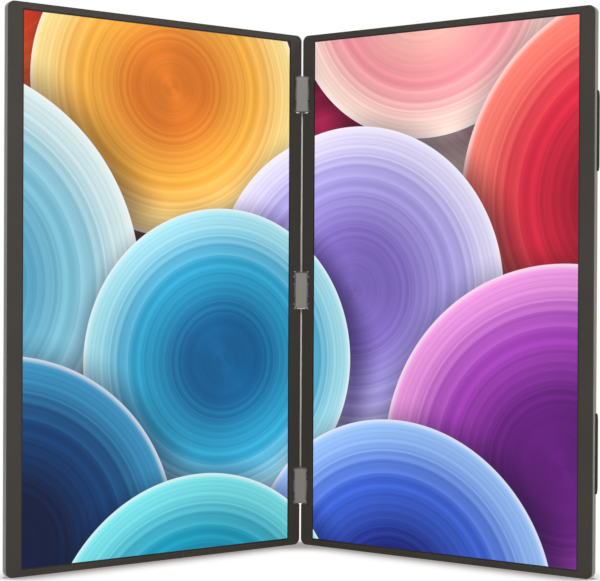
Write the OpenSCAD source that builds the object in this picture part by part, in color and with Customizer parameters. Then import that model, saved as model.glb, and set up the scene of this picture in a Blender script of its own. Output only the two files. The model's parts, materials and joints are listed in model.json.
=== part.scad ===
// Folding dual-screen laptop extender: two slim display panels that stand like an open
// book on their short edges. They are joined along their long edges by three geared
// double-pin hinge blocks on a common spine.
// +Z is up, the screens face -Y, and +X is to the viewer's right.
// The origin is on the surface the panels stand on, under the middle of the whole part.

/* [Screens] */
// Picture area, long side, which stands upright
picture_h = 344.16; // [300:0.01:390]
// Picture area, short side
picture_w = 193.59; // [170:0.01:220]
// From the hinge edge of a panel to the picture
hinge_border = 9.8; // [9.4:0.1:14]
// From the picture to the outer edge of a panel
outer_border = 10.4; // [9.8:0.1:16]
// From the picture to the top and bottom edges of a panel
end_border = 5; // [4.1:0.05:8]
// Depth of the screen below the front of the bezel
screen_recess = 0.4; // [0.2:0.05:0.6]
// Black border seen between the bezel and the picture
matrix_w = 0.9; // [0.4:0.1:1.5]
// Thickness of the liquid-crystal cell
glass_t = 0.8; // [0.5:0.05:1]
// Thickness of the backlight unit
backlight_t = 1; // [0.8:0.05:1.2]

/* [Panels] */
// Thickness of each panel
panel_t = 6.5; // [6.4:0.1:7.5]
// Radius of the four corners of a panel
corner_r = 4.3; // [3:0.1:7]
// Angle between the two screens in the pose that is modelled
open_angle = 114; // [90:0.5:150]
// Angle between the two screens when folded right back
back_angle = 315; // [270:1:315]

/* [Housing] */
// Side wall of the rear cover
wall = 1.2; // [1:0.1:1.6]
// Back plate of the rear cover
floor_t = 0.8; // [0.6:0.05:1]
// Rounding where the back plate meets the rim
back_round = 0.9; // [0.4:0.1:1.4]
// Thickness of the front bezel
bezel_t = 0.8; // [0.7:0.05:1]

/* [Hinge] */
// Gap between the two screens' bezels when the part is closed
closed_gap = 1.3; // [1.2:0.05:2]
// How near a panel's hinge edge comes to the middle plane as it turns
swing_gap = 0.11; // [0.1:0.01:0.3]
// Height of a hinge block
block_h = 25.6; // [24:0.1:33]
// From the middle of the panel to the middle of an outer hinge block
block_pitch = 136.3; // [110:0.1:145]
// Width of the bright cover plate on a hinge block
plate_w = 7.8; // [6.5:0.1:7.8]
// How far the cover plate stops short of each end of its block
plate_inset = 0.8; // [0.5:0.05:1.1]
// Corner radius of the cover plate
plate_r = 0.8; // [0.5:0.1:1.5]
// Rounding of the cover plate's front edge
plate_edge = 0.2; // [0.1:0.05:0.4]
// Radius of a hinge pin
pin_r = 0.75; // [0.6:0.05:0.8]
// Radius of a knuckle round its pin
knuckle_r = 1.9; // [1.6:0.05:2]
// Teeth on each hinge gear
gear_teeth = 13; // [13:2:15]
// Thickness of a hinge leaf
leaf_t = 1.2; // [0.8:0.1:1.4]

/* [Kickstand] */
// Length of the kickstand along the panel
kick_l = 240; // [180:1:244]
// Reach of the kickstand from its axis to its free edge
kick_reach = 95; // [70:1:97]
// Thickness of the kickstand plate
kick_t = 1.2; // [1:0.1:1.4]

/* [Feet] */
// Length of each rubber foot
foot_l = 50; // [30:1:70]
// From the middle of the panel to the middle of a foot
foot_pitch = 100; // [80:1:130]
// How far a foot stands out behind the back plate
foot_proud = 3.7; // [2:0.1:5]
// How far a foot wraps forward over the rim
foot_wrap = 2.1; // [1:0.1:3]

/* [Clearances] */
// Running clearance of a pin in its bore, on the radius
run_gap = 0.05; // [0.02:0.01:0.09]
// Gap between a moving piece and its neighbours
move_gap = 0.15; // [0.1:0.01:0.2]
// Gap between fitted pieces that don't move
fit_gap = 0.1; // [0.05:0.01:0.15]
// Gap between the ends of a hinge block and its notch
notch_gap = 0.2; // [0.15:0.05:1]

/* [Hidden] */
$fn = 64;

// ---- Places that every piece shares -------------------------------------------------
// A panel is drawn in its own frame: X runs from its hinge pin to its outer edge, Y from
// its mid-plane to its back, and Z up from the surface it stands on.

panel_h = picture_h + 2 * end_border;
panel_w = hinge_border + picture_w + outer_border;
mid_z = panel_h / 2;
n_front = -panel_t / 2;
n_back = panel_t / 2;
n_rim = n_front + bezel_t;
n_glass = n_front + screen_recess;
n_light = n_glass + glass_t;
n_stack = n_light + backlight_t;
n_floor = n_back - floor_t;

// The pins stand apart by a closed panel and its gap. They are set in from the hinge
// edge so that the edge's corners just clear the middle plane.
pin_spacing = panel_t + closed_gap;
pin_x = pin_spacing / 2;
pin_inset = sqrt(pow(pin_x - swing_gap, 2) - pow(panel_t / 2, 2));
u_hinge = -pin_inset;
u_outer = panel_w - pin_inset;
turn = 90 - open_angle / 2;
turn_back = 90 - back_angle / 2;

block_zs = [mid_z - block_pitch, mid_z, mid_z + block_pitch];
block_side = knuckle_r + move_gap;
block_half_w = pin_x + block_side;
block_half_d = panel_t / 2 + 0.35;
block_corner = block_half_w - plate_w / 2;
notch_side_gap = 0.4;
notch_u = block_half_d + notch_side_gap;
notch_half = block_h / 2 + notch_gap;
notch_wall = 0.9;

// Along a hinge block, from its middle: gear box, inner ear, knuckle, washer, outer ear.
gear_half = 2.45;
gear_box_half = gear_half + move_gap;
inner_ear = 1.5;
knuckle_z = gear_box_half + inner_ear + fit_gap;
washer_t = 0.5;
outer_ear = 2.3;
knuckle_l = block_h / 2 - plate_inset - outer_ear - 2 * fit_gap - washer_t - gear_box_half - inner_ear;
washer_z = knuckle_z + knuckle_l;
plate_h = block_h - 2 * plate_inset;
plate_t = 1.4;
plate_back = -block_half_d + plate_t;
plate_lip_t = 0.4;
plate_lip_back = plate_back + 5;
web_half = pin_x - knuckle_r - move_gap * 2;

leaf_n = 0.2;
leaf_u = 16;
leaf_half = knuckle_z + knuckle_l;
leaf_screw_u = 12;
leaf_screw_z = 8;
leaf_screw_r = 0.7;
leaf_boss_r = 1.8;

gear_pitch_r = pin_spacing / 6;
gear_module = 2 * gear_pitch_r / gear_teeth;
gear_angle = 25;
gear_backlash = 0.05;
idler_x = gear_pitch_r;
idler_shaft_r = 0.5;
idler_shaft_l = 1.2;

rail_front = panel_t / 2 - 0.65;
rail_back = block_half_d + 2;
rail_gap = 0.25;

// The whole part is centred front to back between the rail and the panels' outer edges.
hinge_y = (u_outer * sin(turn) + panel_t / 2 * cos(turn) - rail_back) / 2;

u_picture = u_hinge + hinge_border;
u_cell = notch_u + notch_wall + fit_gap;
cell_side = 7.5;
cell_end = 2;
u_cell_end = u_picture + picture_w + cell_side;
cell_half = picture_h / 2 + cell_end;
driver_l = 260;
driver_w = 16;
driver_t = 0.6;
driver_inset = 10;
driver_chip = [8, 0.8, 10];
driver_chip_zs = [-96, -40, 40, 96];

kick_u = 104;
kick_barrel_r = 1.5;
kick_n = n_back - kick_barrel_r - 0.1;
kick_pin_r = 0.5;
kick_pin_l = 7;
kick_edge_r = n_back - kick_n;
kick_pocket_n = n_back - kick_t - move_gap;
kick_trough_n = kick_n - kick_barrel_r - move_gap;
pan_wall = 0.5;
kick_block_l = 8;
kick_block_w = 7;
kick_block_start = kick_l / 2 + move_gap + pan_wall + fit_gap;
kick_block_end = kick_block_start + kick_block_l;
finger_r = 10;

foot_w = 7.6;
foot_r = 2.3;
foot_gap = 0.6;
foot_stand = 0.25;
foot_n = n_back - foot_wrap;

board_n = 0.35;
board_t = 0.8;
board_u0 = 62;
board_l = 124;
board_d = 30;
board_edge = 0.6;
board_u1 = board_u0 + board_l;
board_z1 = panel_h - wall - board_edge;
board_z0 = board_z1 - board_d;
post_inset = 4;
post_drop = 12;
board_gap = 0.8;
board_screw_r = 0.6;
board_screw_head_r = 1.5;
// Each chip on the main board: from the board's end, its length, and its height.
chips = [[50, 16, 12], [72, 12, 12], [88, 10, 8], [102, 10, 10]];
chip_t = 1;
chip_up = 4;
board_mid_n = board_n + board_t / 2;
post_r = 2;

usb_us = [board_u1 - 36, board_u1 - 20];
usb_w = 8.94;
usb_t = 3.1;
usb_l = 7.4;
hdmi_u = board_u1 - 54;
hdmi_w = 11.2;
hdmi_t = 3.1;
hdmi_l = 8;
button_l = 8;
button_w = 2.4;
button_proud = 0.5;
button_travel = 0.4;
button_flange = 0.7;
button_stem = 1.2;
power_u = 74;
menu_up_u = 90;
menu_down_u = 102;

speaker_u = 22;
speaker_l = 34;
speaker_d = 11;
speaker_slots = 7;
speaker_slot_inset = 4;

// ---- Helpers ---------------------------------------------------------------------------

module on_right() { translate([pin_x, hinge_y, 0]) rotate([0, 0, -turn]) children(); }
module on_left() { mirror([1, 0, 0]) on_right() children(); }
module on_spine(z = 0) { translate([0, hinge_y, z]) children(); }

// Draws its children in the plane of a panel and extrudes them towards its back.
module in_panel(n0, n1) {
    translate([0, n0, 0]) rotate([90, 0, 0]) mirror([0, 0, 1]) linear_extrude(n1 - n0) children();
}

module rounded_rect(x0, x1, y0, y1, r) {
    translate([x0 + r, y0]) square([x1 - x0 - 2 * r, y1 - y0]);
    translate([x0, y0 + r]) square([x1 - x0, y1 - y0 - 2 * r]);
    for (x = [x0 + r, x1 - r], y = [y0 + r, y1 - r]) translate([x, y]) circle(r = r);
}

module slot(l, w) { rounded_rect(-l / 2, l / 2, -w / 2, w / 2, w / 2 - 0.01); }

module half_disc(r) { intersection() { circle(r = r); translate([-r, 0]) square([2 * r, r]); } }

// A rounded rectangle, extruded along +Z, with the edge round its far face rounded by e.
module rounded_slab(x0, x1, y0, y1, r, e, h) {
    linear_extrude(h - e) rounded_rect(x0, x1, y0, y1, r);
    translate([0, 0, h - e]) {
        linear_extrude(e) rounded_rect(x0 + e, x1 - e, y0 + e, y1 - e, r - e);
        for (x = [x0 + r, x1 - r], y = [y0 + r, y1 - r])
            translate([x, y, 0]) rotate_extrude() translate([r - e, 0]) half_disc(e);
        for (y = [y0 + e, y1 - e])
            translate([x0 + r, y, 0]) rotate([90, 0, 90]) linear_extrude(x1 - x0 - 2 * r) half_disc(e);
        for (x = [x0 + e, x1 - e])
            translate([x, y1 - r, 0]) rotate([90, 0, 0]) linear_extrude(y1 - y0 - 2 * r) half_disc(e);
    }
}

module panel_outline(inset = 0) {
    rounded_rect(u_hinge + inset, u_outer - inset, inset, panel_h - inset, corner_r - inset);
}

// The three cut-outs in a panel's hinge edge that take the hinge blocks.
module notches(grow = 0) {
    for (z = block_zs)
        rounded_rect(u_hinge - 3, notch_u + grow, z - notch_half - grow, z + notch_half + grow, 1);
}

// ---- Hinge gears -------------------------------------------------------------------------

function involute(a) = tan(a) * 180 / PI - a;
gear_base_r = gear_pitch_r * cos(gear_angle);
gear_tip_r = gear_pitch_r + 0.9 * gear_module;
gear_root_r = gear_pitch_r - 1.2 * gear_module;
tooth_half = 90 / gear_teeth - gear_backlash / 4 / gear_pitch_r * 180 / PI;
// Half the angle that a tooth takes at radius r; below the base circle its flank is radial.
function tooth_at(r) = tooth_half + involute(gear_angle)
    - involute(acos(min(1, gear_base_r / max(r, gear_base_r))));
flank_rs = [gear_root_r, gear_base_r, gear_pitch_r, (gear_pitch_r + gear_tip_r) / 2, gear_tip_r];
flank = [for (r = flank_rs) [r, tooth_at(r)]];
tooth = concat([for (p = flank) [p[0], -p[1]]], [for (i = [len(flank) - 1:-1:0]) flank[i]]);

module gear_2d() {
    polygon([for (k = [0:gear_teeth - 1], p = tooth)
        p[0] * [cos(p[1] + k * 360 / gear_teeth), sin(p[1] + k * 360 / gear_teeth)]]);
}

module centred_prism(h) { translate([0, 0, -h]) linear_extrude(2 * h) children(); }

// A gear cut on the middle of its hinge pin, one in each block, with a tooth towards +X.
module gear_pins(x) {
    for (z = block_zs) on_spine(z) translate([x, 0, 0]) {
        centred_prism(gear_half) gear_2d();
        cylinder(r = pin_r, h = plate_h - 2 * (plate_lip_t + fit_gap), center = true);
    }
}

module idler_gears(x) {
    for (z = block_zs) on_spine(z) translate([x, 0, 0]) {
        centred_prism(gear_half) gear_2d();
        cylinder(r = idler_shaft_r, h = 2 * (gear_half + idler_shaft_l), center = true);
    }
}

module right_gear_pins() { color("silver") gear_pins(pin_x); }
module left_gear_pins() { color("silver") gear_pins(-pin_x); }
module right_idler_gears() { color("goldenrod") idler_gears(idler_x); }
module left_idler_gears() { color("goldenrod") idler_gears(-idler_x); }

// ---- Hinge blocks and spine ------------------------------------------------------------------

module block_outline() {
    rounded_rect(-block_half_w, block_half_w, -block_half_d, block_half_d, block_corner);
}

// Cuts one knuckle's room out of a hinge block, beside the web and behind the cover plate.
module knuckle_room() {
    h = knuckle_l + washer_t + 2 * fit_gap;
    z = knuckle_z - fit_gap;
    for (side = [-1, 1], end = [0, 1]) mirror([0, 0, end])
        translate([side > 0 ? web_half : -block_half_w - 1, -block_half_d - 1, z])
            cube([block_half_w + 1 - web_half, 2 * block_half_d + 2, h]);
}

// The slot under the plate's lip runs back to slot_back.
module hinge_body(z, slot_back = block_half_d + 1) {
    color("#57534f") on_spine(z) difference() {
        linear_extrude(block_h, center = true) block_outline();
        translate([-plate_w / 2, -block_half_d - 1, -block_h / 2 - 1])
            cube([plate_w, plate_t + 1, block_h + 2]);
        translate([-plate_w / 2, -block_half_d - 1, -block_h / 2 - 1])
            cube([plate_w, slot_back + block_half_d + 1, plate_inset + plate_lip_t + 1]);
        knuckle_room();
        centred_prism(gear_box_half) {
            for (x = [-pin_x, -idler_x, idler_x, pin_x]) translate([x, 0]) circle(r = gear_tip_r + move_gap);
            translate([-pin_x, plate_back - 1]) square([pin_spacing, 1 - plate_back]);
        }
        for (x = [-pin_x, pin_x]) translate([x, 0, 0]) cylinder(r = pin_r + run_gap, h = block_h + 2, center = true);
        for (x = [-idler_x, idler_x]) translate([x, 0, 0])
            cylinder(r = idler_shaft_r + run_gap, h = 2 * (gear_half + idler_shaft_l + fit_gap), center = true);
        spine_screw_holes(screw_hole_r);
    }
}

screw_z = knuckle_z + knuckle_l / 2;
screw_r = 0.5;
screw_hole_r = screw_r + run_gap;
screw_head_r = 1;
screw_head_t = 0.6;
screw_tip = rail_back - 0.8;

module along_y(y) { translate([0, y, 0]) rotate([-90, 0, 0]) children(); }

module spine_screw_holes(r) {
    for (end = [-1, 1]) translate([0, 0, end * screw_z]) {
        along_y(plate_back - 1) cylinder(r = r, h = screw_tip - plate_back + 1.1);
        along_y(plate_back - 1) cylinder(r = screw_head_r + run_gap, h = 1 + screw_head_t + fit_gap);
    }
}

module top_hinge_body() { hinge_body(block_zs[2]); }
module middle_hinge_body() { hinge_body(block_zs[1]); }
// The slot in the bottom block is closed behind the lip.
module bottom_hinge_body() { hinge_body(block_zs[0], plate_lip_back + fit_gap); }

// A plate over the front of each block, with a lip turned back under the block.
module hinge_cover_plates() {
    side = plate_w / 2;
    end = plate_h / 2;
    color("#83807d") for (z = block_zs) on_spine(z) {
        translate([0, plate_back, 0]) rotate([90, 0, 0])
            rounded_slab(-side, side, -end, end, plate_r, plate_edge, plate_t);
        translate([plate_r - side, plate_back - plate_t / 2, -end])
            cube([plate_w - 2 * plate_r, plate_lip_back - plate_back + plate_t / 2, plate_lip_t]);
    }
}

module spine_screws() {
    color("dimgray") for (z = block_zs, end = [-1, 1]) on_spine(z + end * screw_z) {
        along_y(plate_back + fit_gap) cylinder(r = screw_head_r, h = screw_head_t);
        along_y(plate_back + fit_gap) cylinder(r = screw_r, h = screw_tip - plate_back - fit_gap);
    }
}

// Half the room between the panels behind the pins, at distance y behind them: as a panel
// swings, its corner sweeps a circle about the pin, and folded right back its flat back
// lies along a line.
function swept_half(y) = let (reach = pin_x - swing_gap)
    y < reach ? pin_x - sqrt(reach * reach - y * y) : pin_x;
function folded_half(y) = pin_x + (y - panel_t / 2 * cos(turn_back)) / -sin(turn_back) * cos(turn_back)
    + panel_t / 2 * sin(turn_back);
function rail_half(y) = min(swept_half(y), folded_half(y)) - rail_gap;

rail_ys = [rail_front, rail_front + 0.4, rail_front + 1.4, rail_front + 2.4, rail_back - 0.3, rail_back];

module rail_profile() {
    half = [for (y = rail_ys) [y == rail_back ? rail_half(y) - 0.5 : rail_half(y), y]];
    polygon(concat(half, [for (i = [len(half) - 1:-1:0]) [-half[i][0], half[i][1]]]));
}

module spine_rail() {
    color("#8d8a87") on_spine() difference() {
        translate([0, 0, block_zs[0] - block_h / 2])
            linear_extrude(2 * block_pitch + block_h) rail_profile();
        for (z = block_zs) translate([-block_half_w, -block_half_d, z - block_h / 2 - fit_gap])
            cube([2 * block_half_w, 2 * block_half_d, block_h + 2 * fit_gap]);
        for (z = block_zs) translate([0, 0, z]) spine_screw_holes(screw_r);
    }
}

// ---- Hinge leaves, fixed in the panels ----------------------------------------------------------

module hinge_leaves() {
    for (z = block_zs) translate([0, 0, z]) difference() {
        union() {
            in_panel(leaf_n, leaf_n + leaf_t) difference() {
                rounded_rect(notch_u + notch_wall + fit_gap, leaf_u, -leaf_half, leaf_half, 1.5);
                for (v = [-leaf_screw_z, 0, leaf_screw_z]) translate([leaf_screw_u, v]) circle(r = leaf_screw_r);
            }
            for (end = [0, 1]) mirror([0, 0, end]) translate([0, 0, knuckle_z]) {
                cylinder(r = knuckle_r, h = knuckle_l - fit_gap);
                translate([0, leaf_n, 0]) cube([notch_u + notch_wall + 2, leaf_t, knuckle_l - fit_gap]);
            }
        }
        cylinder(r = pin_r, h = block_h, center = true);
    }
}

module friction_washers() {
    for (z = block_zs, end = [0, 1]) translate([0, 0, z]) mirror([0, 0, end])
        translate([0, 0, washer_z]) difference() {
            cylinder(r = knuckle_r - 0.2, h = washer_t);
            translate([0, 0, -1]) cylinder(r = pin_r, h = washer_t + 2);
        }
}

module leaf_screws() {
    for (z = block_zs, v = [-leaf_screw_z, 0, leaf_screw_z]) translate([leaf_screw_u, leaf_n, z + v]) {
        along_y(-0.5) cylinder(r = 1.4, h = 0.5);
        along_y(-0.5) cylinder(r = leaf_screw_r, h = n_floor - leaf_n + 0.4);
    }
}

module right_hinge_leaves() { color("gray") on_right() hinge_leaves(); }
module left_hinge_leaves() { color("gray") on_left() hinge_leaves(); }
module right_friction_washers() { color("darkgray") on_right() friction_washers(); }
module left_friction_washers() { color("darkgray") on_left() friction_washers(); }
module right_leaf_screws() { color("dimgray") on_right() leaf_screws(); }
module left_leaf_screws() { color("dimgray") on_left() leaf_screws(); }

// ---- Rear covers ----------------------------------------------------------------------------------

module boss(u, z, n0, r, hole_r) {
    translate([u, 0, z]) along_y(n0) difference() {
        cylinder(r = r, h = n_back - n0 - floor_t / 2);
        translate([0, 0, -1]) cylinder(r = hole_r, h = 1 + n_floor - n0);
    }
}

// A shallow tray with a wall all round, notched for the hinge blocks.
module cover_tray() {
    difference() {
        translate([0, n_rim, 0]) rotate([90, 0, 0]) mirror([0, 0, 1])
            rounded_slab(u_hinge, u_outer, 0, panel_h, corner_r, back_round, n_back - n_rim);
        in_panel(n_rim - 1, n_floor) difference() {
            panel_outline(wall);
            notches(notch_wall);
        }
        in_panel(n_rim - 1, n_back + 1) notches();
        for (z = block_zs, end = [0, 1]) translate([0, 0, z]) mirror([0, 0, end])
            translate([notch_u - 1, leaf_n - fit_gap, knuckle_z - fit_gap])
                cube([notch_wall + 2, leaf_t + 2 * fit_gap, knuckle_l + fit_gap]);
    }
    for (z = block_zs, v = [-leaf_screw_z, 0, leaf_screw_z])
        boss(leaf_screw_u, z + v, leaf_n + leaf_t, leaf_boss_r, leaf_screw_r);
}

module left_rear_cover() { color("#a5a19c") on_left() cover_tray(); }

// Room in the back for the folded kickstand, grown by g and down to n_pocket and n_trough.
module kick_room(g, n_pocket, n_trough, n_top) {
    half = kick_l / 2 + move_gap + g;
    in_panel(n_pocket, n_top) {
        rounded_rect(kick_u - kick_edge_r - move_gap - g, kick_u + kick_reach + move_gap + g,
            mid_z - half, mid_z + half, 2);
        translate([kick_u + kick_reach, mid_z]) circle(r = finger_r + g);
    }
    translate([kick_u - kick_edge_r - move_gap - g, n_trough, mid_z - half])
        cube([2 * (kick_edge_r + move_gap + g), n_top - n_trough, 2 * half]);
}

module foot_profile() { rounded_rect(u_outer + foot_stand - foot_w, u_outer + foot_stand, foot_n, n_back + foot_proud, foot_r); }

module foot_room(g) {
    for (end = [-1, 1]) translate([0, 0, mid_z + end * foot_pitch - foot_l / 2 - g])
        linear_extrude(foot_l + 2 * g)
            translate([u_outer + foot_stand - foot_w - g, foot_n - foot_gap]) square([foot_w + 2 * g + 5, 10]);
}

module top_slot(u, l, w, deep) {
    translate([u, board_mid_n, panel_h - wall - deep]) linear_extrude(wall + deep + 1) slot(l, w);
}

module speaker_grilles() {
    run = speaker_l - 2 * speaker_slot_inset;
    for (z = [-1, panel_h - wall - 1], i = [0:speaker_slots - 1])
        translate([speaker_u + speaker_slot_inset + i * run / (speaker_slots - 1), board_mid_n, z])
            linear_extrude(wall + 2) slot(2.6, 1);
}

module right_rear_cover() {
    color("#a5a19c") on_right() difference() {
        union() {
            cover_tray();
            kick_room(pan_wall, kick_pocket_n - pan_wall, kick_trough_n - pan_wall, n_floor + 0.1);
            in_panel(foot_n - foot_gap - pan_wall, n_floor + 0.1) for (end = [-1, 1])
                rounded_rect(u_outer - foot_w - wall, u_outer - wall / 2,
                    mid_z + end * foot_pitch - foot_l / 2 - wall, mid_z + end * foot_pitch + foot_l / 2 + wall, 1);
            for (p = board_posts) boss(p[0], p[1], board_n + board_t, post_r, board_screw_r);
        }
        kick_room(0, kick_pocket_n, kick_trough_n, n_back + 1);
        foot_room(fit_gap);
        kick_block_bores(kick_pin_r + 0.2);
        for (u = usb_us) top_slot(u, usb_w + 2 * fit_gap, usb_t + 2 * fit_gap, 0.5);
        top_slot(hdmi_u, hdmi_w + 2 * fit_gap, hdmi_t + 2 * fit_gap, 0.5);
        for (u = [power_u, menu_up_u, menu_down_u]) top_slot(u, button_l + 2 * fit_gap, button_w + 2 * fit_gap, 0.5);
        speaker_grilles();
    }
}

// ---- Screens ----------------------------------------------------------------------------------------

module picture_window(grow) {
    translate([u_picture - grow, mid_z - picture_h / 2 - grow])
        square([picture_w + 2 * grow, picture_h + 2 * grow]);
}

module bezel() {
    difference() {
        in_panel(n_front, n_rim) difference() {
            panel_outline();
            notches();
            picture_window(matrix_w);
        }
        in_panel(n_glass, n_rim + 1) translate([u_cell - fit_gap, mid_z - cell_half - fit_gap])
            square([u_cell_end - u_cell + 2 * fit_gap, 2 * (cell_half + fit_gap)]);
    }
}

module stack_layer(n0, n1, inset) {
    in_panel(n0, n1) translate([u_cell + inset, mid_z - cell_half + inset])
        square([u_cell_end - u_cell - 2 * inset, 2 * (cell_half - inset)]);
}

module screen_cell() { stack_layer(n_glass, n_light, 0); }
module backlight() { stack_layer(n_light, n_stack, 0.4); }

module driver_board() {
    u0 = u_cell_end - driver_inset - driver_w;
    in_panel(n_stack, n_stack + driver_t) translate([u0, mid_z - driver_l / 2]) square([driver_w, driver_l]);
    for (z = driver_chip_zs)
        translate([u0 + (driver_w - driver_chip[0]) / 2, n_stack + driver_t, mid_z + z - driver_chip[2] / 2])
            cube(driver_chip);
}

module right_bezel() { color("#42403c") on_right() bezel(); }
module left_bezel() { color("#42403c") on_left() bezel(); }
module right_screen_cell() { color("#20242c") on_right() screen_cell(); }
module left_screen_cell() { color("#20242c") on_left() screen_cell(); }
module right_backlight() { color("whitesmoke") on_right() backlight(); }
module left_backlight() { color("whitesmoke") on_left() backlight(); }
module right_driver_board() { color("darkgreen") on_right() driver_board(); }
module left_driver_board() { color("darkgreen") on_left() driver_board(); }

// ---- Main board, sockets and buttons, in the right panel ------------------------------------------------

board_posts = [for (u = [board_u0 + post_inset, board_u1 - post_inset],
    z = [board_z0 + post_inset, board_z1 - post_drop]) [u, z]];

module main_board() {
    color("darkgreen") on_right() {
        in_panel(board_n, board_n + board_t) difference() {
            translate([board_u0, board_z0]) square([board_u1 - board_u0, board_z1 - board_z0]);
            for (p = board_posts) translate(p) circle(r = board_screw_r + 2 * fit_gap);
            translate([kick_u - kick_block_w / 2 - board_gap, mid_z])
                square([kick_block_w + 2 * board_gap, kick_block_end + board_gap]);
            for (u = usb_us) translate([u - usb_w / 2 - fit_gap, panel_h - usb_l - 1]) square([usb_w + 2 * fit_gap, 20]);
            translate([hdmi_u - hdmi_w / 2 - fit_gap, panel_h - hdmi_l - 1]) square([hdmi_w + 2 * fit_gap, 20]);
            for (u = [power_u, menu_up_u, menu_down_u])
                translate([u - button_l / 2 - 1, switch_top - 3]) square([button_l + 2, 20]);
        }
        for (c = chips)
            translate([board_u0 + c[0], board_n + board_t, board_z0 + chip_up]) cube([c[1], chip_t, c[2]]);
    }
}

module board_screws() {
    color("dimgray") on_right() for (p = board_posts) translate([p[0], 0, p[1]]) {
        along_y(board_n - 0.5) cylinder(r = board_screw_head_r, h = 0.5);
        along_y(board_n - 0.5) cylinder(r = board_screw_r, h = n_floor - board_n + 0.4);
    }
}

module socket_shell(u, w, t, l) {
    translate([u, board_mid_n, panel_h - 0.2 - l]) difference() {
        linear_extrude(l) slot(w, t);
        translate([0, 0, 0.6]) linear_extrude(l) slot(w - 0.6, t - 0.6);
    }
    translate([u - w / 2 + 1.2, board_mid_n - 0.35, panel_h - 0.2 - l]) cube([w - 2.4, 0.7, l - 1]);
}

module usb_c_sockets() {
    color("silver") on_right() for (u = usb_us) socket_shell(u, usb_w, usb_t, usb_l);
}

module mini_hdmi_socket() { color("silver") on_right() socket_shell(hdmi_u, hdmi_w, hdmi_t, hdmi_l); }

switch_top = panel_h - wall - button_flange - fit_gap - button_stem - button_travel;

// A cap in a slot of the top edge, with a flange under the wall and a stem down to its switch.
module button(u) {
    color("#3a3835") on_right() translate([u, board_mid_n, panel_h - wall - fit_gap]) {
        linear_extrude(wall + fit_gap + button_proud) slot(button_l, button_w);
        translate([0, 0, -button_flange]) linear_extrude(button_flange)
            slot(button_l + 1.2, button_w + 0.6);
        translate([-1, -0.6, -button_flange - button_stem + 0.1]) cube([2, 1.2, button_stem]);
    }
}

module power_button() { button(power_u); }
module menu_up_button() { button(menu_up_u); }
module menu_down_button() { button(menu_down_u); }

module button_switches() {
    color("black") on_right() for (u = [power_u, menu_up_u, menu_down_u])
        translate([u - 2, board_n + fit_gap, switch_top - 3]) cube([4, 1.4, 3]);
}

// ---- Speakers -----------------------------------------------------------------------------------------------

module speaker(z) {
    on_right() translate([speaker_u, n_stack + 0.3, z]) cube([speaker_l, n_floor - n_stack - 0.35, speaker_d]);
}

module upper_speaker() { color("black") speaker(panel_h - wall - fit_gap - speaker_d); }
module lower_speaker() { color("black") speaker(wall + fit_gap); }

// ---- Rubber feet ------------------------------------------------------------------------------------------------

module rubber_feet() {
    color("#2f2d2a") on_right() for (end = [-1, 1]) intersection() {
        translate([0, 0, mid_z + end * foot_pitch - foot_l / 2]) linear_extrude(foot_l) foot_profile();
        translate([u_outer - 20, 0, mid_z + end * foot_pitch]) rotate([90, 0, 90]) linear_extrude(40)
            polygon([[-5, -foot_l / 2], [n_back, -foot_l / 2], [n_back + foot_proud, foot_proud - foot_l / 2],
                [n_back + foot_proud, foot_l / 2 - foot_proud], [n_back, foot_l / 2], [-5, foot_l / 2]]);
    }
}

// ---- Kickstand ------------------------------------------------------------------------------------------------------

module kickstand() {
    color("#a5a19c") on_right() difference() {
        union() {
            in_panel(n_back - kick_t, n_back) {
                translate([kick_u, mid_z - kick_l / 2]) square([kick_reach / 2, kick_l]);
                rounded_rect(kick_u, kick_u + kick_reach, mid_z - kick_l / 2, mid_z + kick_l / 2, 2);
            }
            translate([kick_u, kick_n, mid_z]) cylinder(r = kick_barrel_r, h = kick_l, center = true);
            translate([kick_u, kick_n, mid_z - kick_l / 2]) cube([kick_barrel_r, n_back - kick_n - 0.01, kick_l]);
        }
        for (end = [0, 1]) translate([kick_u, kick_n, mid_z]) mirror([0, 0, end])
            translate([0, 0, kick_l / 2 - kick_pin_l]) cylinder(r = kick_pin_r, h = kick_pin_l + 1);
    }
}

module kick_pin(r, l0, l1) {
    for (end = [0, 1]) translate([kick_u, kick_n, mid_z]) mirror([0, 0, end])
        translate([0, 0, kick_l / 2 - l0]) cylinder(r = r, h = l0 + l1);
}

module kick_block_bores(r) { kick_pin(r, 1, kick_block_l + 1.5); }

module kickstand_pins() { color("silver") on_right() kick_pin(kick_pin_r, kick_pin_l - 0.1, kick_block_l); }

// A steel block at each end of the kickstand, inside the cover, that grips its pin.
module kickstand_friction_blocks() {
    color("gray") on_right() difference() {
        for (end = [0, 1]) translate([0, 0, mid_z]) mirror([0, 0, end])
            translate([kick_u - kick_block_w / 2, kick_trough_n + 0.4, kick_block_start])
                cube([kick_block_w, n_floor - kick_trough_n - 0.4, kick_block_l]);
        kick_block_bores(kick_pin_r + run_gap);
    }
}

// ---- The part -------------------------------------------------------------------------------------------------------------

spine_rail();
top_hinge_body();
middle_hinge_body();
bottom_hinge_body();
hinge_cover_plates();
spine_screws();
right_idler_gears();
left_idler_gears();
right_rear_cover();
right_bezel();
right_screen_cell();
right_backlight();
right_driver_board();
right_hinge_leaves();
right_gear_pins();
right_friction_washers();
right_leaf_screws();
left_rear_cover();
left_bezel();
left_screen_cell();
left_backlight();
left_driver_board();
left_hinge_leaves();
left_gear_pins();
left_friction_washers();
left_leaf_screws();
main_board();
board_screws();
usb_c_sockets();
mini_hdmi_socket();
button_switches();
upper_speaker();
lower_speaker();
rubber_feet();
power_button();
menu_up_button();
menu_down_button();
kickstand();
kickstand_pins();
kickstand_friction_blocks();
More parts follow.
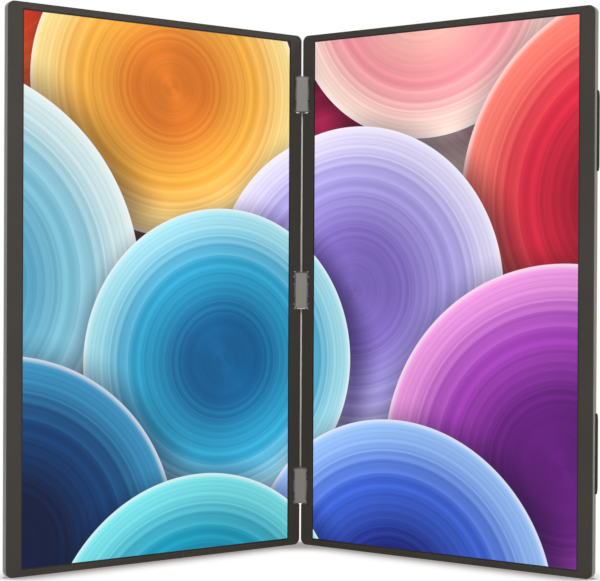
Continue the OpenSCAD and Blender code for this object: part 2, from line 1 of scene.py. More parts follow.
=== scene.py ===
"""Dresses the folding dual-screen laptop extender: its finishes, its screens and its fine parts.

Every length is in metres, or in millimetres where its name ends in _mm, in the part's own frame:
+Z up, the screens facing -Y and +X to the viewer's right. A panel's own coordinates are u, from
its hinge pin to its outer edge, n, from its mid-plane to its back, and z, up from the surface
that it stands on.
"""

import json
import logging
import math
from collections.abc import Iterator, Sequence
from contextlib import contextmanager
from dataclasses import dataclass
from enum import Enum

import bmesh
import bpy
import numpy as np
from mathutils import Euler, Matrix, Vector

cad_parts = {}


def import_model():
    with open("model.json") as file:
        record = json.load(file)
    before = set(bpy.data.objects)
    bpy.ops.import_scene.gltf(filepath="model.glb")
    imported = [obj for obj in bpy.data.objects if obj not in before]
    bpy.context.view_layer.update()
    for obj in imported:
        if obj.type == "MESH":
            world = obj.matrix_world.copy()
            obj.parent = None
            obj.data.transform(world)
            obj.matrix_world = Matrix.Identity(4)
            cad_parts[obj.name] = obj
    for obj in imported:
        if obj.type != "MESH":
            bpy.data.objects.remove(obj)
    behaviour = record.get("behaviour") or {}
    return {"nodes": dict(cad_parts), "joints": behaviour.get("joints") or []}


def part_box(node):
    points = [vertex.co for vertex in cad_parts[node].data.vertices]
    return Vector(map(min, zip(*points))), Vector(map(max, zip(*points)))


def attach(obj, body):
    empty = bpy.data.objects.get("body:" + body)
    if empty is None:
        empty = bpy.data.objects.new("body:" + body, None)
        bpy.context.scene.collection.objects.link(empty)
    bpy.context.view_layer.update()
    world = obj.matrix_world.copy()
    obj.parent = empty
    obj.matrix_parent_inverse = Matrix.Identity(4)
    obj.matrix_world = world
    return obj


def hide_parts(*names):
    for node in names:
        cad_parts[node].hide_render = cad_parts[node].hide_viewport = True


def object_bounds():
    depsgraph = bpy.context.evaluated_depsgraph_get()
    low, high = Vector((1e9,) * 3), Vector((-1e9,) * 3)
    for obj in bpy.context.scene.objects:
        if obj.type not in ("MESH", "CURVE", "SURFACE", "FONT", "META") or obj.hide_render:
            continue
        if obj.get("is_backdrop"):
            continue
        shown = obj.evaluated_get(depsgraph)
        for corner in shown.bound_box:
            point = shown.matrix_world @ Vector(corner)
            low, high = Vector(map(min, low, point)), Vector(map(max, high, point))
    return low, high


LOG = logging.getLogger("extender")
MM = 0.001
WHITE = (1.0, 1.0, 1.0)

Colour = tuple[float, float, float]
Display = tuple[int, int, int]
Span = tuple[float, float]
Material = bpy.types.Material
Object = bpy.types.Object
Socket = bpy.types.NodeSocket


def srgb(display: Display) -> Colour:
    """Turns a display colour into a linear one: a straight foot, then a power of 2.4.

    Args:
        display: Red, green and blue, each from 0 to 255.

    Returns:
        Linear red, green and blue.
    """
    share = np.array(display) / 255.0
    linear = np.where(share <= 0.04045, share / 12.92, ((share + 0.055) / 1.055) ** 2.4)
    return tuple(float(v) for v in linear)


class Side(Enum):
    """Which of the two panels a piece belongs to."""

    LEFT = -1
    RIGHT = 1

    @property
    def word(self) -> str:
        """The side's name as the nodes and bodies use it."""
        return self.name.lower()


class Block(Enum):
    """Which of the three hinge blocks a piece belongs to."""

    TOP = "top"
    MIDDLE = "middle"
    BOTTOM = "bottom"

    @property
    def body(self) -> str:
        """The node of the block's body."""
        return f"{self.value}_hinge_body"


# Shader trees


class Kind(Enum):
    """What a socket of a node group carries."""

    FLOAT = "NodeSocketFloat"
    COLOUR = "NodeSocketColor"
    VECTOR = "NodeSocketVector"


class Tree:
    """A thin layer over a node tree that adds nodes and links in one call."""

    NUMBERS = ("DOT_PRODUCT", "DISTANCE")  # vector operations whose result is a number

    def __init__(self, tree: bpy.types.NodeTree) -> None:
        """Keeps the tree that nodes are added to."""
        self.tree = tree

    def feed(self, socket: Socket, value: object) -> None:
        """Links an output to a socket, or sets the socket's own value.

        Args:
            socket: The input to fill.
            value: An output socket to link, or a number, colour or vector to set.
        """
        if isinstance(value, Socket):
            self.tree.links.new(value, socket)
        elif isinstance(value, tuple) and len(value) == 3 and len(socket.default_value) == 4:
            socket.default_value = (*value, 1.0)
        else:
            socket.default_value = value

    def fill(self, sockets: bpy.types.NodeInputs, **values: object) -> None:
        """Feeds several inputs, whose names are given with _ for a space."""
        for name, value in values.items():
            self.feed(sockets[name.replace("_", " ")], value)

    def add(self, kind: str, inputs: dict | None = None, **settings: object) -> bpy.types.Node:
        """Adds one node.

        Args:
            kind: The node's type name.
            inputs: Input socket names or indices, each with a value or an output to link.
            **settings: The node's own properties.

        Returns:
            The new node.
        """
        node = self.tree.nodes.new(kind)
        for name, value in settings.items():
            setattr(node, name, value)
        for key, value in (inputs or {}).items():
            self.feed(node.inputs[key], value)
        return node

    def math(self, operation: str, *values: object, clamp: bool = False) -> Socket:
        """Adds a Math node and returns its output."""
        inputs = dict(enumerate(values))
        return self.add("ShaderNodeMath", inputs, operation=operation, use_clamp=clamp).outputs[0]

    def vector(self, operation: str, *values: object) -> Socket:
        """Adds a Vector Math node and returns its output."""
        node = self.add("ShaderNodeVectorMath", dict(enumerate(values)), operation=operation)
        return node.outputs["Value" if operation in self.NUMBERS else "Vector"]

    def mix(self, factor: object, one: object, two: object, blend: str = "MIX") -> Socket:
        """Adds a colour Mix node.

        Args:
            factor: The share of the second colour.
            one: The first colour.
            two: The second colour.
            blend: How the second is laid over the first.

        Returns:
            The mixed colour.
        """
        node = self.add("ShaderNodeMix", data_type="RGBA", blend_type=blend)
        self.fill(node.inputs, Factor=factor, A=one, B=two)
        return node.outputs["Result"]

    def ramp(
        self, value: object, low: object, high: object, *to: float, smooth: bool = True
    ) -> Socket:
        """Maps a value from one range to another, held at both ends.

        Args:
            value: The value to map.
            low: Where the range starts.
            high: Where it ends.
            *to: What its start and end become, 0 and 1 if not given.
            smooth: Whether the step eases in and out or runs straight.

        Returns:
            The mapped value.
        """
        start, end = to or (0.0, 1.0)
        node = self.add("ShaderNodeMapRange",
                        interpolation_type="SMOOTHSTEP" if smooth else "LINEAR")
        self.fill(node.inputs, Value=value, From_Min=low, From_Max=high, To_Min=start, To_Max=end)
        return node.outputs["Result"]

    def place(self) -> Socket:
        """The point's place in the object's own coordinates."""
        return self.add("ShaderNodeTexCoord").outputs["Object"]

    def noise(self, place: Socket, scale: object, detail: float, **more: float) -> Socket:
        """Adds a Noise Texture and returns its value; more inputs go by name."""
        inputs = {"Vector": place, "Scale": scale, "Detail": detail, **more}
        return self.add("ShaderNodeTexNoise", inputs).outputs[0]

    def group(self, tree: bpy.types.NodeTree, **inputs: object) -> bpy.types.NodeOutputs:
        """Places a node group.

        Args:
            tree: The group.
            **inputs: Its inputs, whose names are given with _ for a space.

        Returns:
            Its outputs.
        """
        node = self.add("ShaderNodeGroup", node_tree=tree)
        self.fill(node.inputs, **inputs)
        return node.outputs


def new_group(
    name: str, inputs: dict[Kind, tuple[str, ...]], outputs: dict[Kind, tuple[str, ...]]
) -> tuple[Tree, bpy.types.NodeOutputs, bpy.types.NodeInputs]:
    """Makes an empty shader node group with named inputs and outputs.

    Args:
        name: The group's name.
        inputs: The names of its inputs, by kind.
        outputs: The names of its outputs, by kind.

    Returns:
        The group's tree, its inputs as sockets to link from, and its outputs as sockets to feed.
    """
    tree = bpy.data.node_groups.new(name, "ShaderNodeTree")
    for way, kinds in (("INPUT", inputs), ("OUTPUT", outputs)):
        for kind, names in kinds.items():
            for socket in names:
                tree.interface.new_socket(socket, in_out=way, socket_type=kind.value)
    source, sink = tree.nodes.new("NodeGroupInput"), tree.nodes.new("NodeGroupOutput")
    return Tree(tree), source.outputs, sink.inputs


class SharedEffects:
    """The node groups that several finishes use.

    Attributes:
        SPECKS: Noise from and to which the grain's specks come up.
        DRIFT: Noise from and to which the slow drift comes up.
        WORN_TURN: Cosine of the turn at which wear starts, and at which it is full.
        WORN_PATCHES: Noise from and to which wear shows.
        WORN_SCALE: How close the patches of wear lie.
        SMUDGE_EDGE: Distance from a smudge's middle at which it starts, and at which it is full.
        SMUDGE_CLOUD: Noise from and to which smudges show.
        RING_WAVER: How far the rings shift a disc's colours, as a share of its radius.
        INNER_RUN: Where a disc's colour turns from the inner to the middle one.
        OUTER_RUN: Where it turns from the middle one to the rim's.
        RING_TONES: Noise of the rings from and to, and the tones that these become.
        SHEEN: Power that narrows the sheen, and its strength.
        RIM_GLOW: Share of the radius at which the rim's glow starts, and at which it is full.
        GLOW: Strength of the rim's glow, and its colour.
        CAST: How far a disc's shadow is moved.
        CAST_REACH: Share of the radius past the rim at which the shadow ends and is full.
        CAST_TINT: What the shadow leaves of the colour beneath.
        RIM_EDGE: Share of the radius at which a disc ends, and at which it is whole.
    """

    SPECKS = (0.35, 0.65)
    DRIFT = (0.3, 0.7)
    WORN_TURN = (0.995, 0.86)
    WORN_PATCHES = (0.3, 0.62)
    WORN_SCALE = 320.0
    SMUDGE_EDGE = (0.55, 0.1)
    SMUDGE_CLOUD = (0.42, 0.7)
    RING_WAVER = 0.2
    INNER_RUN = (0.0, 0.55)
    OUTER_RUN = (0.5, 1.0)
    RING_TONES = (0.3, 0.72, 0.84, 1.0)
    SHEEN = (5.0, 0.2)
    RIM_GLOW = (0.965, 0.996)
    GLOW = (0.55, (1.0, 0.98, 0.95))
    CAST = (0.05, -0.09, 0.0)
    CAST_REACH = (0.22, -0.04)
    CAST_TINT = (0.10, 0.07, 0.16)
    RIM_EDGE = (1.0, 0.9965)

    def __init__(self) -> None:
        """Builds each group once."""
        self.grain = self._grain()
        self.edges = self._edges()
        self.handling = self._handling()
        self.brush = self._brush()
        self.disc = self._disc()

    def _grain(self) -> bpy.types.NodeTree:
        """A fine even grain: noise as a height and as specks, and a slow drift as a mask.

        Returns:
            The group.
        """
        t, source, sink = new_group("fine_grain", {Kind.FLOAT: ("Grain Size", "Drift Size")},
                                    {Kind.FLOAT: ("Height", "Speck", "Drift")})
        place = t.place()
        fine = t.noise(place, t.math("DIVIDE", 1.0, source["Grain Size"]), 2.0, Roughness=0.6)
        slow = t.noise(place, t.math("DIVIDE", 1.0, source["Drift Size"]), 3.0, Roughness=0.55)
        t.fill(sink, Height=fine, Speck=t.ramp(fine, *self.SPECKS), Drift=t.ramp(slow, *self.DRIFT))
        return t.tree

    def _edges(self) -> bpy.types.NodeTree:
        """Edge wear: where a rounded normal turns away from the true one, broken up by noise.

        Returns:
            The group.
        """
        t, source, sink = new_group("edge_wear", {Kind.FLOAT: ("Radius", "Amount")},
                                    {Kind.FLOAT: ("Mask",)})
        rounded = t.add("ShaderNodeBevel", {"Radius": source["Radius"]}, samples=4)
        flat = t.add("ShaderNodeNewGeometry").outputs["True Normal"]
        turn = t.vector("DOT_PRODUCT", rounded.outputs["Normal"], flat)
        patches = t.noise(t.place(), self.WORN_SCALE, 3.0)
        bare = t.math("MULTIPLY", t.ramp(turn, *self.WORN_TURN),
                      t.ramp(patches, *self.WORN_PATCHES))
        t.fill(sink, Mask=t.math("MULTIPLY", bare, source["Amount"], clamp=True))
        return t.tree

    def _handling(self) -> bpy.types.NodeTree:
        """Marks of handling: faint broad smudges, each fading out from its middle.

        Returns:
            The group.
        """
        t, source, sink = new_group("handling", {Kind.FLOAT: ("Scale",)}, {Kind.FLOAT: ("Mask",)})
        place = t.place()
        cloud = t.noise(place, source["Scale"], 4.0, Distortion=0.6)
        patch = t.add("ShaderNodeTexVoronoi", {"Vector": place, "Scale": source["Scale"]},
                      feature="SMOOTH_F1")
        soft = t.ramp(patch.outputs["Distance"], *self.SMUDGE_EDGE)
        t.fill(sink, Mask=t.math("MULTIPLY", soft, t.ramp(cloud, *self.SMUDGE_CLOUD)))
        return t.tree

    def _brush(self) -> bpy.types.NodeTree:
        """Brushed lines: noise drawn out along one direction.

        Returns:
            The group.
        """
        t, source, sink = new_group(
            "brush_lines", {Kind.VECTOR: ("Stretch",), Kind.FLOAT: ("Scale",)},
            {Kind.FLOAT: ("Height",)})
        drawn = t.vector("MULTIPLY", t.place(), source["Stretch"])
        t.fill(sink, Height=t.noise(drawn, source["Scale"], 2.0))
        return t.tree

    def _disc(self) -> bpy.types.NodeTree:
        """One shaded disc of the screens' design, laid over the colour beneath it.

        Inside the radius the colour runs from the inner to the rim colour, with fine rings and a
        sheen along one direction. Outside it the disc casts a soft shadow from a moved centre.

        Returns:
            The group.
        """
        t, source, sink = new_group(
            "shaded_disc",
            {
                Kind.VECTOR: ("Place", "Centre", "Sheen"),
                Kind.FLOAT: ("Radius", "Core", "Shade", "Rings"),
                Kind.COLOUR: ("Inner", "Middle", "Rim", "Under"),
            },
            {Kind.COLOUR: ("Colour",)},
        )
        place, centre, under = source["Place"], source["Centre"], source["Under"]
        share = t.math("DIVIDE", t.vector("DISTANCE", place, centre), source["Radius"])
        rings = t.add("ShaderNodeTexNoise", {"W": t.math("MULTIPLY", share, source["Rings"]),
                                             "Scale": 1.0, "Detail": 5.0, "Roughness": 0.62},
                      noise_dimensions="1D").outputs[0]
        waver = t.math("MULTIPLY_ADD", t.math("SUBTRACT", rings, 0.5), self.RING_WAVER, share)
        run = t.ramp(waver, source["Core"], 1.0, smooth=False)
        near = t.mix(t.ramp(run, *self.INNER_RUN), source["Inner"], source["Middle"])
        body = t.mix(t.ramp(run, *self.OUTER_RUN), near, source["Rim"])
        outward = t.vector("NORMALIZE", t.vector("SUBTRACT", place, centre))
        slant = t.math("ABSOLUTE", t.vector("DOT_PRODUCT", outward, source["Sheen"]))
        power, gain = self.SHEEN
        tone = t.math("MULTIPLY_ADD", t.math("POWER", slant, power), gain,
                      t.ramp(rings, *self.RING_TONES))
        grey = t.add("ShaderNodeCombineColor", {0: tone, 1: tone, 2: tone}).outputs[0]
        lined = t.mix(1.0, body, grey, "MULTIPLY")
        strength, glow = self.GLOW
        lit = t.mix(t.math("MULTIPLY", t.ramp(share, *self.RIM_GLOW), strength), lined, glow)
        away = t.vector("DISTANCE", place, t.vector("ADD", centre, self.CAST))
        past = t.math("SUBTRACT", t.math("DIVIDE", away, source["Radius"]), 1.0)
        depth = t.math("MULTIPLY", t.ramp(past, *self.CAST_REACH), source["Shade"])
        shaded = t.mix(depth, under, t.mix(1.0, under, self.CAST_TINT, "MULTIPLY"))
        t.fill(sink, Colour=t.mix(t.ramp(share, *self.RIM_EDGE), shaded, lit))
        return t.tree


# Finishes


def blank_material(name: str) -> tuple[Material, Tree, bpy.types.NodeInputs]:
    """Makes a material with one Principled shader.

    Args:
        name: The material's name.

    Returns:
        The material, its tree, and the inputs of its Principled node.
    """
    material = bpy.data.materials.new(name)
    material.use_nodes = True
    return material, Tree(material.node_tree), material.node_tree.nodes["Principled BSDF"].inputs


@dataclass(frozen=True)
class Finish:
    """A solid finish with grain, drift in its colour, marks of handling and worn edges.

    Attributes:
        name: The material's name.
        colour: Its main colour.
        edge_colour: The colour that worn edges show.
        roughness: Lowest and highest roughness.
        metallic: 0 for paint and plastic, 1 for bare metal.
        drift: How much its colour wanders, as a share.
        grain_mm: Size of its grain.
        depth_mm: Depth of its grain.
        wear: How much its edges are worn.
        specular: The shader's specular level.
        brushed: How much the brushed lines' noise changes along each axis, if it has them.
        edge_radius: How far from an edge it is worn.
        drift_size: Size of the patches in which its colour and roughness wander.
        marks_scale: How close the marks of handling lie.
        speck: Share of the lighter colour in the grain's specks.
        dullest: Sum of drift and marks at which the roughness is highest.
        brush_scale: How close brushed lines lie.
        brush_depth: Depth of brushed lines as a share of the grain's.
    """

    name: str
    colour: Display
    edge_colour: Display
    roughness: Span
    metallic: float = 0.0
    drift: float = 0.05
    grain_mm: float = 0.2
    depth_mm: float = 0.004
    wear: float = 0.3
    specular: float = 0.5
    brushed: Colour | None = None
    edge_radius: float = 0.25 * MM
    drift_size: float = 60 * MM
    marks_scale: float = 26.0
    speck: float = 0.12
    dullest: float = 1.6
    brush_scale: float = 6000.0
    brush_depth: float = 1.5

    def make(self, effects: SharedEffects) -> Material:
        """Builds the material from the shared groups.

        Args:
            effects: The shared node groups.

        Returns:
            The finished material.
        """
        material, t, inputs = blank_material(self.name)
        grain = t.group(effects.grain, Grain_Size=self.grain_mm * MM, Drift_Size=self.drift_size)
        marks = t.group(effects.handling, Scale=self.marks_scale)["Mask"]
        worn = t.group(effects.edges, Radius=self.edge_radius, Amount=self.wear)["Mask"]
        colour = srgb(self.colour)
        light = tuple(min(1.0, c * (1 + self.drift)) for c in colour)
        dark = tuple(c * (1 - self.drift) for c in colour)
        base = t.mix(grain["Drift"], dark, light)
        specked = t.mix(t.math("MULTIPLY", grain["Speck"], self.speck), base, light)
        dull = t.math("ADD", grain["Drift"], marks)
        height = grain["Height"]
        if self.brushed:
            lines = t.group(effects.brush, Stretch=self.brushed, Scale=self.brush_scale)["Height"]
            height = t.math("MULTIPLY_ADD", lines, self.brush_depth, height)
        bump = t.add("ShaderNodeBump", {"Strength": 1.0, "Distance": self.depth_mm * MM,
                                        "Height": height})
        t.fill(
            inputs,
            Base_Color=t.mix(worn, specked, srgb(self.edge_colour)),
            Roughness=t.ramp(dull, 0.0, self.dullest, *self.roughness, smooth=False),
            Metallic=self.metallic,
            Specular_IOR_Level=self.specular,
            Normal=bump.outputs["Normal"],
        )
        return material


@dataclass(frozen=True)
class Disc:
    """One disc of the screens' design, in units of 100 mm across both screens.

    Attributes:
        centre: Its centre, right of the middle and up from the bottom.
        radius: Its radius.
        core: The share of the radius that has the inner colour only.
        inner: Colour near its centre.
        middle: Colour between.
        rim: Colour at its rim.
    """

    centre: Span
    radius: float
    core: float
    inner: Display
    middle: Display
    rim: Display


@dataclass(frozen=True)
class ScreenDesign:
    """The picture that both screens show together: large overlapping discs, warm to cool.

    Attributes:
        unit: What a length of 1 in the design is on the screens.
        half_span: Half of the width that the UV map covers, in those units.
        height: The picture's height in those units.
        strength: How bright the screens look.
        spill: How brightly they light what is near them.
        shade: Strength of the shadow that a disc casts.
        rings: How close a disc's fine rings are.
        sheen: The direction along which a disc shines.
        turn: Heights between which the ground behind the discs turns from cool to warm.
        grounds: The ground's colours, low and high, each on the left and on the right.
        glass: The colour of the unlit screen.
        glass_specular: The shader's specular level of the screen.
        glass_roughness: Lowest and highest roughness of the screen.
        glass_grain: Size of the grain that its roughness follows.
    """

    unit: float = 100 * MM
    half_span: float = 2.1
    height: float = 3.4416
    strength: float = 1.0
    spill: float = 0.12
    shade: float = 0.75
    rings: float = 22.0
    sheen: Colour = (-0.5, 0.866, 0.0)
    turn: Span = (0.3, 3.2)
    grounds: tuple[tuple[Display, Display], ...] = (
        ((14, 44, 96), (120, 70, 170)), ((236, 150, 70), (250, 200, 180)))
    glass: Colour = (0.004, 0.004, 0.005)
    glass_specular: float = 0.08
    glass_roughness: Span = (0.3, 0.42)
    glass_grain: float = 0.2 * MM

    def discs(self) -> list[Disc]:
        """Lists the discs.

        Returns:
            The discs, from the one furthest back to the one in front.
        """
        return [
            Disc((-0.25, 4.35), 2.15, 0.45, (150, 20, 60), (196, 40, 92), (245, 150, 150)),
            Disc((2.35, 4.15), 2.05, 0.35, (214, 90, 110), (246, 176, 160), (255, 232, 214)),
            Disc((-2.45, 3.95), 1.72, 0.35, (196, 44, 16), (240, 106, 30), (255, 196, 84)),
            Disc((0.95, 3.75), 1.02, 0.25, (250, 188, 176), (244, 150, 160), (255, 226, 214)),
            Disc((-1.02, 3.05), 0.98, 0.25, (222, 120, 34), (250, 178, 66), (255, 228, 150)),
            Disc((2.55, 2.3), 1.32, 0.3, (150, 12, 40), (220, 40, 66), (250, 128, 112)),
            Disc((-2.6, 1.75), 1.36, 0.3, (60, 150, 190), (130, 198, 220), (222, 240, 240)),
            Disc((0.42, 1.72), 1.12, 0.3, (126, 104, 190), (168, 156, 226), (228, 222, 250)),
            Disc((-0.62, 1.25), 1.02, 0.25, (16, 96, 150), (46, 164, 206), (170, 226, 238)),
            Disc((1.95, 0.62), 1.28, 0.3, (96, 22, 120), (160, 62, 180), (232, 150, 220)),
            Disc((-2.2, 0.1), 1.22, 0.3, (8, 24, 62), (14, 64, 120), (60, 150, 196)),
            Disc((0.72, -0.32), 1.18, 0.25, (20, 30, 120), (58, 96, 208), (150, 190, 244)),
            Disc((-0.78, -0.62), 1.12, 0.25, (6, 84, 120), (18, 150, 182), (120, 220, 226)),
        ]

    def make(self, effects: SharedEffects) -> Material:
        """Builds the lit screen's material.

        Args:
            effects: The shared node groups.

        Returns:
            The material, which reads the picture's own UV map.
        """
        material, t, inputs = blank_material("screen_picture")
        uv = t.add("ShaderNodeUVMap", uv_map="picture").outputs["UV"]
        wide = t.vector("MULTIPLY", uv, (2 * self.half_span, self.height, 0.0))
        place = t.vector("SUBTRACT", wide, (self.half_span, 0.0, 0.0))
        parts = t.add("ShaderNodeSeparateXYZ", {0: place}).outputs
        across = t.ramp(parts["X"], -self.half_span, self.half_span)
        low, high = (t.mix(across, srgb(one), srgb(two)) for one, two in self.grounds)
        colour = t.mix(t.ramp(parts["Y"], *self.turn), low, high)
        for disc in self.discs():
            colour = t.group(
                effects.disc, Place=place, Centre=(*disc.centre, 0.0), Radius=disc.radius,
                Core=disc.core, Inner=srgb(disc.inner), Middle=srgb(disc.middle),
                Rim=srgb(disc.rim), Shade=self.shade, Rings=self.rings, Sheen=self.sheen,
                Under=colour)["Colour"]
        seen = t.add("ShaderNodeLightPath").outputs["Is Camera Ray"]
        grain = t.group(effects.grain, Grain_Size=self.glass_grain)["Height"]
        t.fill(
            inputs,
            Emission_Color=colour,
            Emission_Strength=t.ramp(seen, 0.0, 1.0, self.spill, self.strength, smooth=False),
            Base_Color=self.glass,
            Specular_IOR_Level=self.glass_specular,
            Roughness=t.ramp(grain, 0.0, 1.0, *self.glass_roughness),
        )
        return material


METAL = 0.95  # how metallic bare metal is, with its film of dirt
FINISHES = {
    "cover": Finish("blasted_cover_metal", (111, 108, 104), (176, 173, 168), (0.36, 0.48), 0.35,
                    grain_mm=0.16, depth_mm=0.01, wear=0.35),
    "bezel": Finish("matte_bezel", (51, 47, 42), (112, 108, 102), (0.46, 0.6), drift=0.07,
                    grain_mm=0.22, depth_mm=0.012, specular=0.2),
    "hinge": Finish("painted_hinge", (72, 68, 64), (140, 136, 130), (0.4, 0.55), drift=0.08,
                    grain_mm=0.25, depth_mm=0.008, wear=0.45),
    "plate": Finish("satin_cover_plate", (110, 106, 102), (170, 167, 162), (0.5, 0.62), 0.15,
                    drift=0.04, depth_mm=0.005, wear=0.25, specular=0.3, brushed=(1.0, 1.0, 0.03)),
    "rail": Finish("spine_rail_metal", (206, 204, 199), (200, 198, 192), (0.42, 0.55), 0.2,
                   depth_mm=0.005, brushed=(1.0, 1.0, 0.02)),
    "steel": Finish("machined_steel", (176, 174, 170), (220, 218, 214), (0.28, 0.42), METAL,
                    drift=0.06, grain_mm=0.15, brushed=(1.0, 1.0, 0.2)),
    "dark_steel": Finish("blackened_steel", (58, 55, 52), (90, 87, 82), (0.46, 0.6), 0.3,
                         drift=0.06, grain_mm=0.15, wear=0.1),
    "brass": Finish("cut_brass", (196, 156, 84), (236, 204, 132), (0.26, 0.4), METAL,
                    drift=0.08, grain_mm=0.15),
    "board": Finish("board_green", (22, 82, 52), (150, 130, 70), (0.3, 0.45), drift=0.15,
                    grain_mm=0.5, depth_mm=0.01, wear=0.2),
    "white": Finish("backlight_white", (226, 226, 222), (236, 236, 232), (0.4, 0.5), drift=0.03,
                    grain_mm=0.4, wear=0.1),
    "socket": Finish("plated_socket", (188, 186, 182), (226, 224, 220), (0.22, 0.34), METAL,
                     grain_mm=0.1, depth_mm=0.003),
    # Black plastic of the buttons and speakers; it also paints the shade of the strips about the
    # hinge plates.
    "black": Finish("black_plastic", (46, 44, 42), (96, 92, 88), (0.4, 0.55), drift=0.08,
                    depth_mm=0.008),
    "rubber": Finish("foot_rubber", (31, 29, 28), (76, 73, 70), (0.72, 0.88), drift=0.1,
                     grain_mm=0.4, depth_mm=0.03, specular=0.2),
    "matrix": Finish("black_screen_border", (22, 21, 22), (40, 40, 42), (0.28, 0.36),
                     grain_mm=0.3, depth_mm=0.001, wear=0.1, specular=0.3),
    "gold": Finish("gold_contact", (214, 172, 88), (240, 210, 140), (0.2, 0.3), METAL,
                   depth_mm=0.002, wear=0.2),
}


# Surfaces


@contextmanager
def editing(mesh: bpy.types.Mesh) -> Iterator[bmesh.types.BMesh]:
    """Opens a mesh for the bmesh tools, and writes it back afterwards.

    Args:
        mesh: The mesh to edit.

    Yields:
        The mesh as the tools take it.
    """
    work = bmesh.new()
    work.from_mesh(mesh)
    yield work
    work.to_mesh(mesh)
    work.free()


def linked(name: str, data: bpy.types.ID) -> Object:
    """Makes an object of a mesh, lamp or camera and links it to the scene.

    Args:
        name: The object's name.
        data: What it shows.

    Returns:
        The object.
    """
    obj = bpy.data.objects.new(name, data)
    bpy.context.scene.collection.objects.link(obj)
    return obj


def rounded_outline(
    width: float, height: float, radius: float, inset: Sequence[float], steps: int = 8,
    least: float = 0.01 * MM,
) -> np.ndarray:
    """Rings of a rounded rectangle, one for each inset.

    The centre of each corner's arc lies at the half size less the arc's radius; a point is that
    centre plus the radius times the cosine and sine of its angle.

    Args:
        width: Full width.
        height: Full height.
        radius: Corner radius.
        inset: How far in each ring lies.
        steps: Points in each corner.
        least: The arc's radius where the inset has used up the corner's.

    Returns:
        Points of shape (rings, 4 * steps, 2), anticlockwise.
    """
    inset = np.asarray(inset, float)[:, None, None]
    arc = np.maximum(radius - inset, least)
    angle = (np.linspace(0, np.pi / 2, steps) + np.arange(4)[:, None] * np.pi / 2)[None]
    sign_x = np.array([1, -1, -1, 1])[None, :, None]
    sign_y = np.array([1, 1, -1, -1])[None, :, None]
    x = sign_x * (width / 2 - inset - arc) + arc * np.cos(angle)
    y = sign_y * (height / 2 - inset - arc) + arc * np.sin(angle)
    return np.stack([x, y], -1).reshape(len(x), -1, 2)


def quarter_round(radius: float, steps: int = 5) -> tuple[np.ndarray, np.ndarray]:
    """Inset and rise of a rounded edge: its radius by one less the cosine, and by the sine."""
    angle = np.linspace(0, np.pi / 2, steps)
    return radius * (1 - np.cos(angle)), radius * np.sin(angle)


def ring_stack(plan: np.ndarray, third: np.ndarray, axis: int = 2) -> np.ndarray:
    """Gives rings of a plan their third coordinate.

    Args:
        plan: Points of shape (rings, points, 2).
        third: The coordinate, in a shape that spreads over rings and points.
        axis: Where it goes among the three.

    Returns:
        Points of shape (rings, points, 3).
    """
    parts = [plan[..., 0], plan[..., 1]]
    parts.insert(axis, np.broadcast_to(third, plan.shape[:2]))
    return np.stack(parts, -1)


def ring_mesh(
    name: str, rings: np.ndarray, weld: float = 0.0005 * MM, sharp: float = 40.0
) -> Object:
    """Joins rings of points into a closed skin.

    The skin's two parameters are the place along a ring and the ring's number; each face joins
    two neighbours on one ring to the same two on the next, and the end rings get a face each.

    Args:
        name: The object's name.
        rings: Points of shape (rings, points, 3).
        weld: Points nearer than this are merged.
        sharp: The angle in degrees from which an edge stays sharp.

    Returns:
        The new object, with its faces outwards.
    """
    count, around = rings.shape[:2]
    index = np.arange(count * around).reshape(count, around)
    here, there = index[:-1], index[1:]
    quads = np.stack([here, np.roll(here, -1, 1), np.roll(there, -1, 1), there], -1)
    faces = [*quads.reshape(-1, 4).tolist(), index[0][::-1].tolist(), index[-1].tolist()]
    mesh = bpy.data.meshes.new(name)
    mesh.from_pydata(rings.reshape(-1, 3).tolist(), [], faces)
    with editing(mesh) as work:
        bmesh.ops.remove_doubles(work, verts=work.verts, dist=weld)
        bmesh.ops.recalc_face_normals(work, faces=work.faces)
    mesh.shade_smooth()
    mesh.set_sharp_from_angle(angle=math.radians(sharp))
    return linked(name, mesh)


def soft_block(
    name: str, low: Sequence[float], high: Sequence[float], edge: float, steps: int = 4
) -> Object:
    """A block whose edges are all rounded.

    Its plan is a rounded rectangle, drawn in at the bottom and the top along a quarter circle.

    Args:
        name: The object's name.
        low: Its lowest corner.
        high: Its highest corner.
        edge: Radius of the edges.
        steps: Points in the rounding of an edge.

    Returns:
        The new object.
    """
    low, high = np.asarray(low), np.asarray(high)
    inset, rise = quarter_round(edge, steps)
    insets = np.concatenate([inset[::-1], inset])
    plan = rounded_outline(high[0] - low[0], high[1] - low[1], edge, insets, steps)
    z = np.concatenate([low[2] + edge - rise[::-1], high[2] - edge + rise])
    return ring_mesh(name, ring_stack(plan + ((low + high) / 2)[:2], z[:, None]))


def joined(name: str, pieces: list[Object], material: Material) -> Object:
    """Joins objects that share a finish into one piece.

    Args:
        name: The piece's name.
        pieces: The objects, which are used up.
        material: The piece's material.

    Returns:
        The piece.
    """
    mesh = bpy.data.meshes.new(name)
    with editing(mesh) as work:
        for part in [piece.data for piece in pieces]:
            work.from_mesh(part)
            bpy.data.meshes.remove(part)
    mesh.materials.append(material)
    return linked(name, mesh)


# The frame


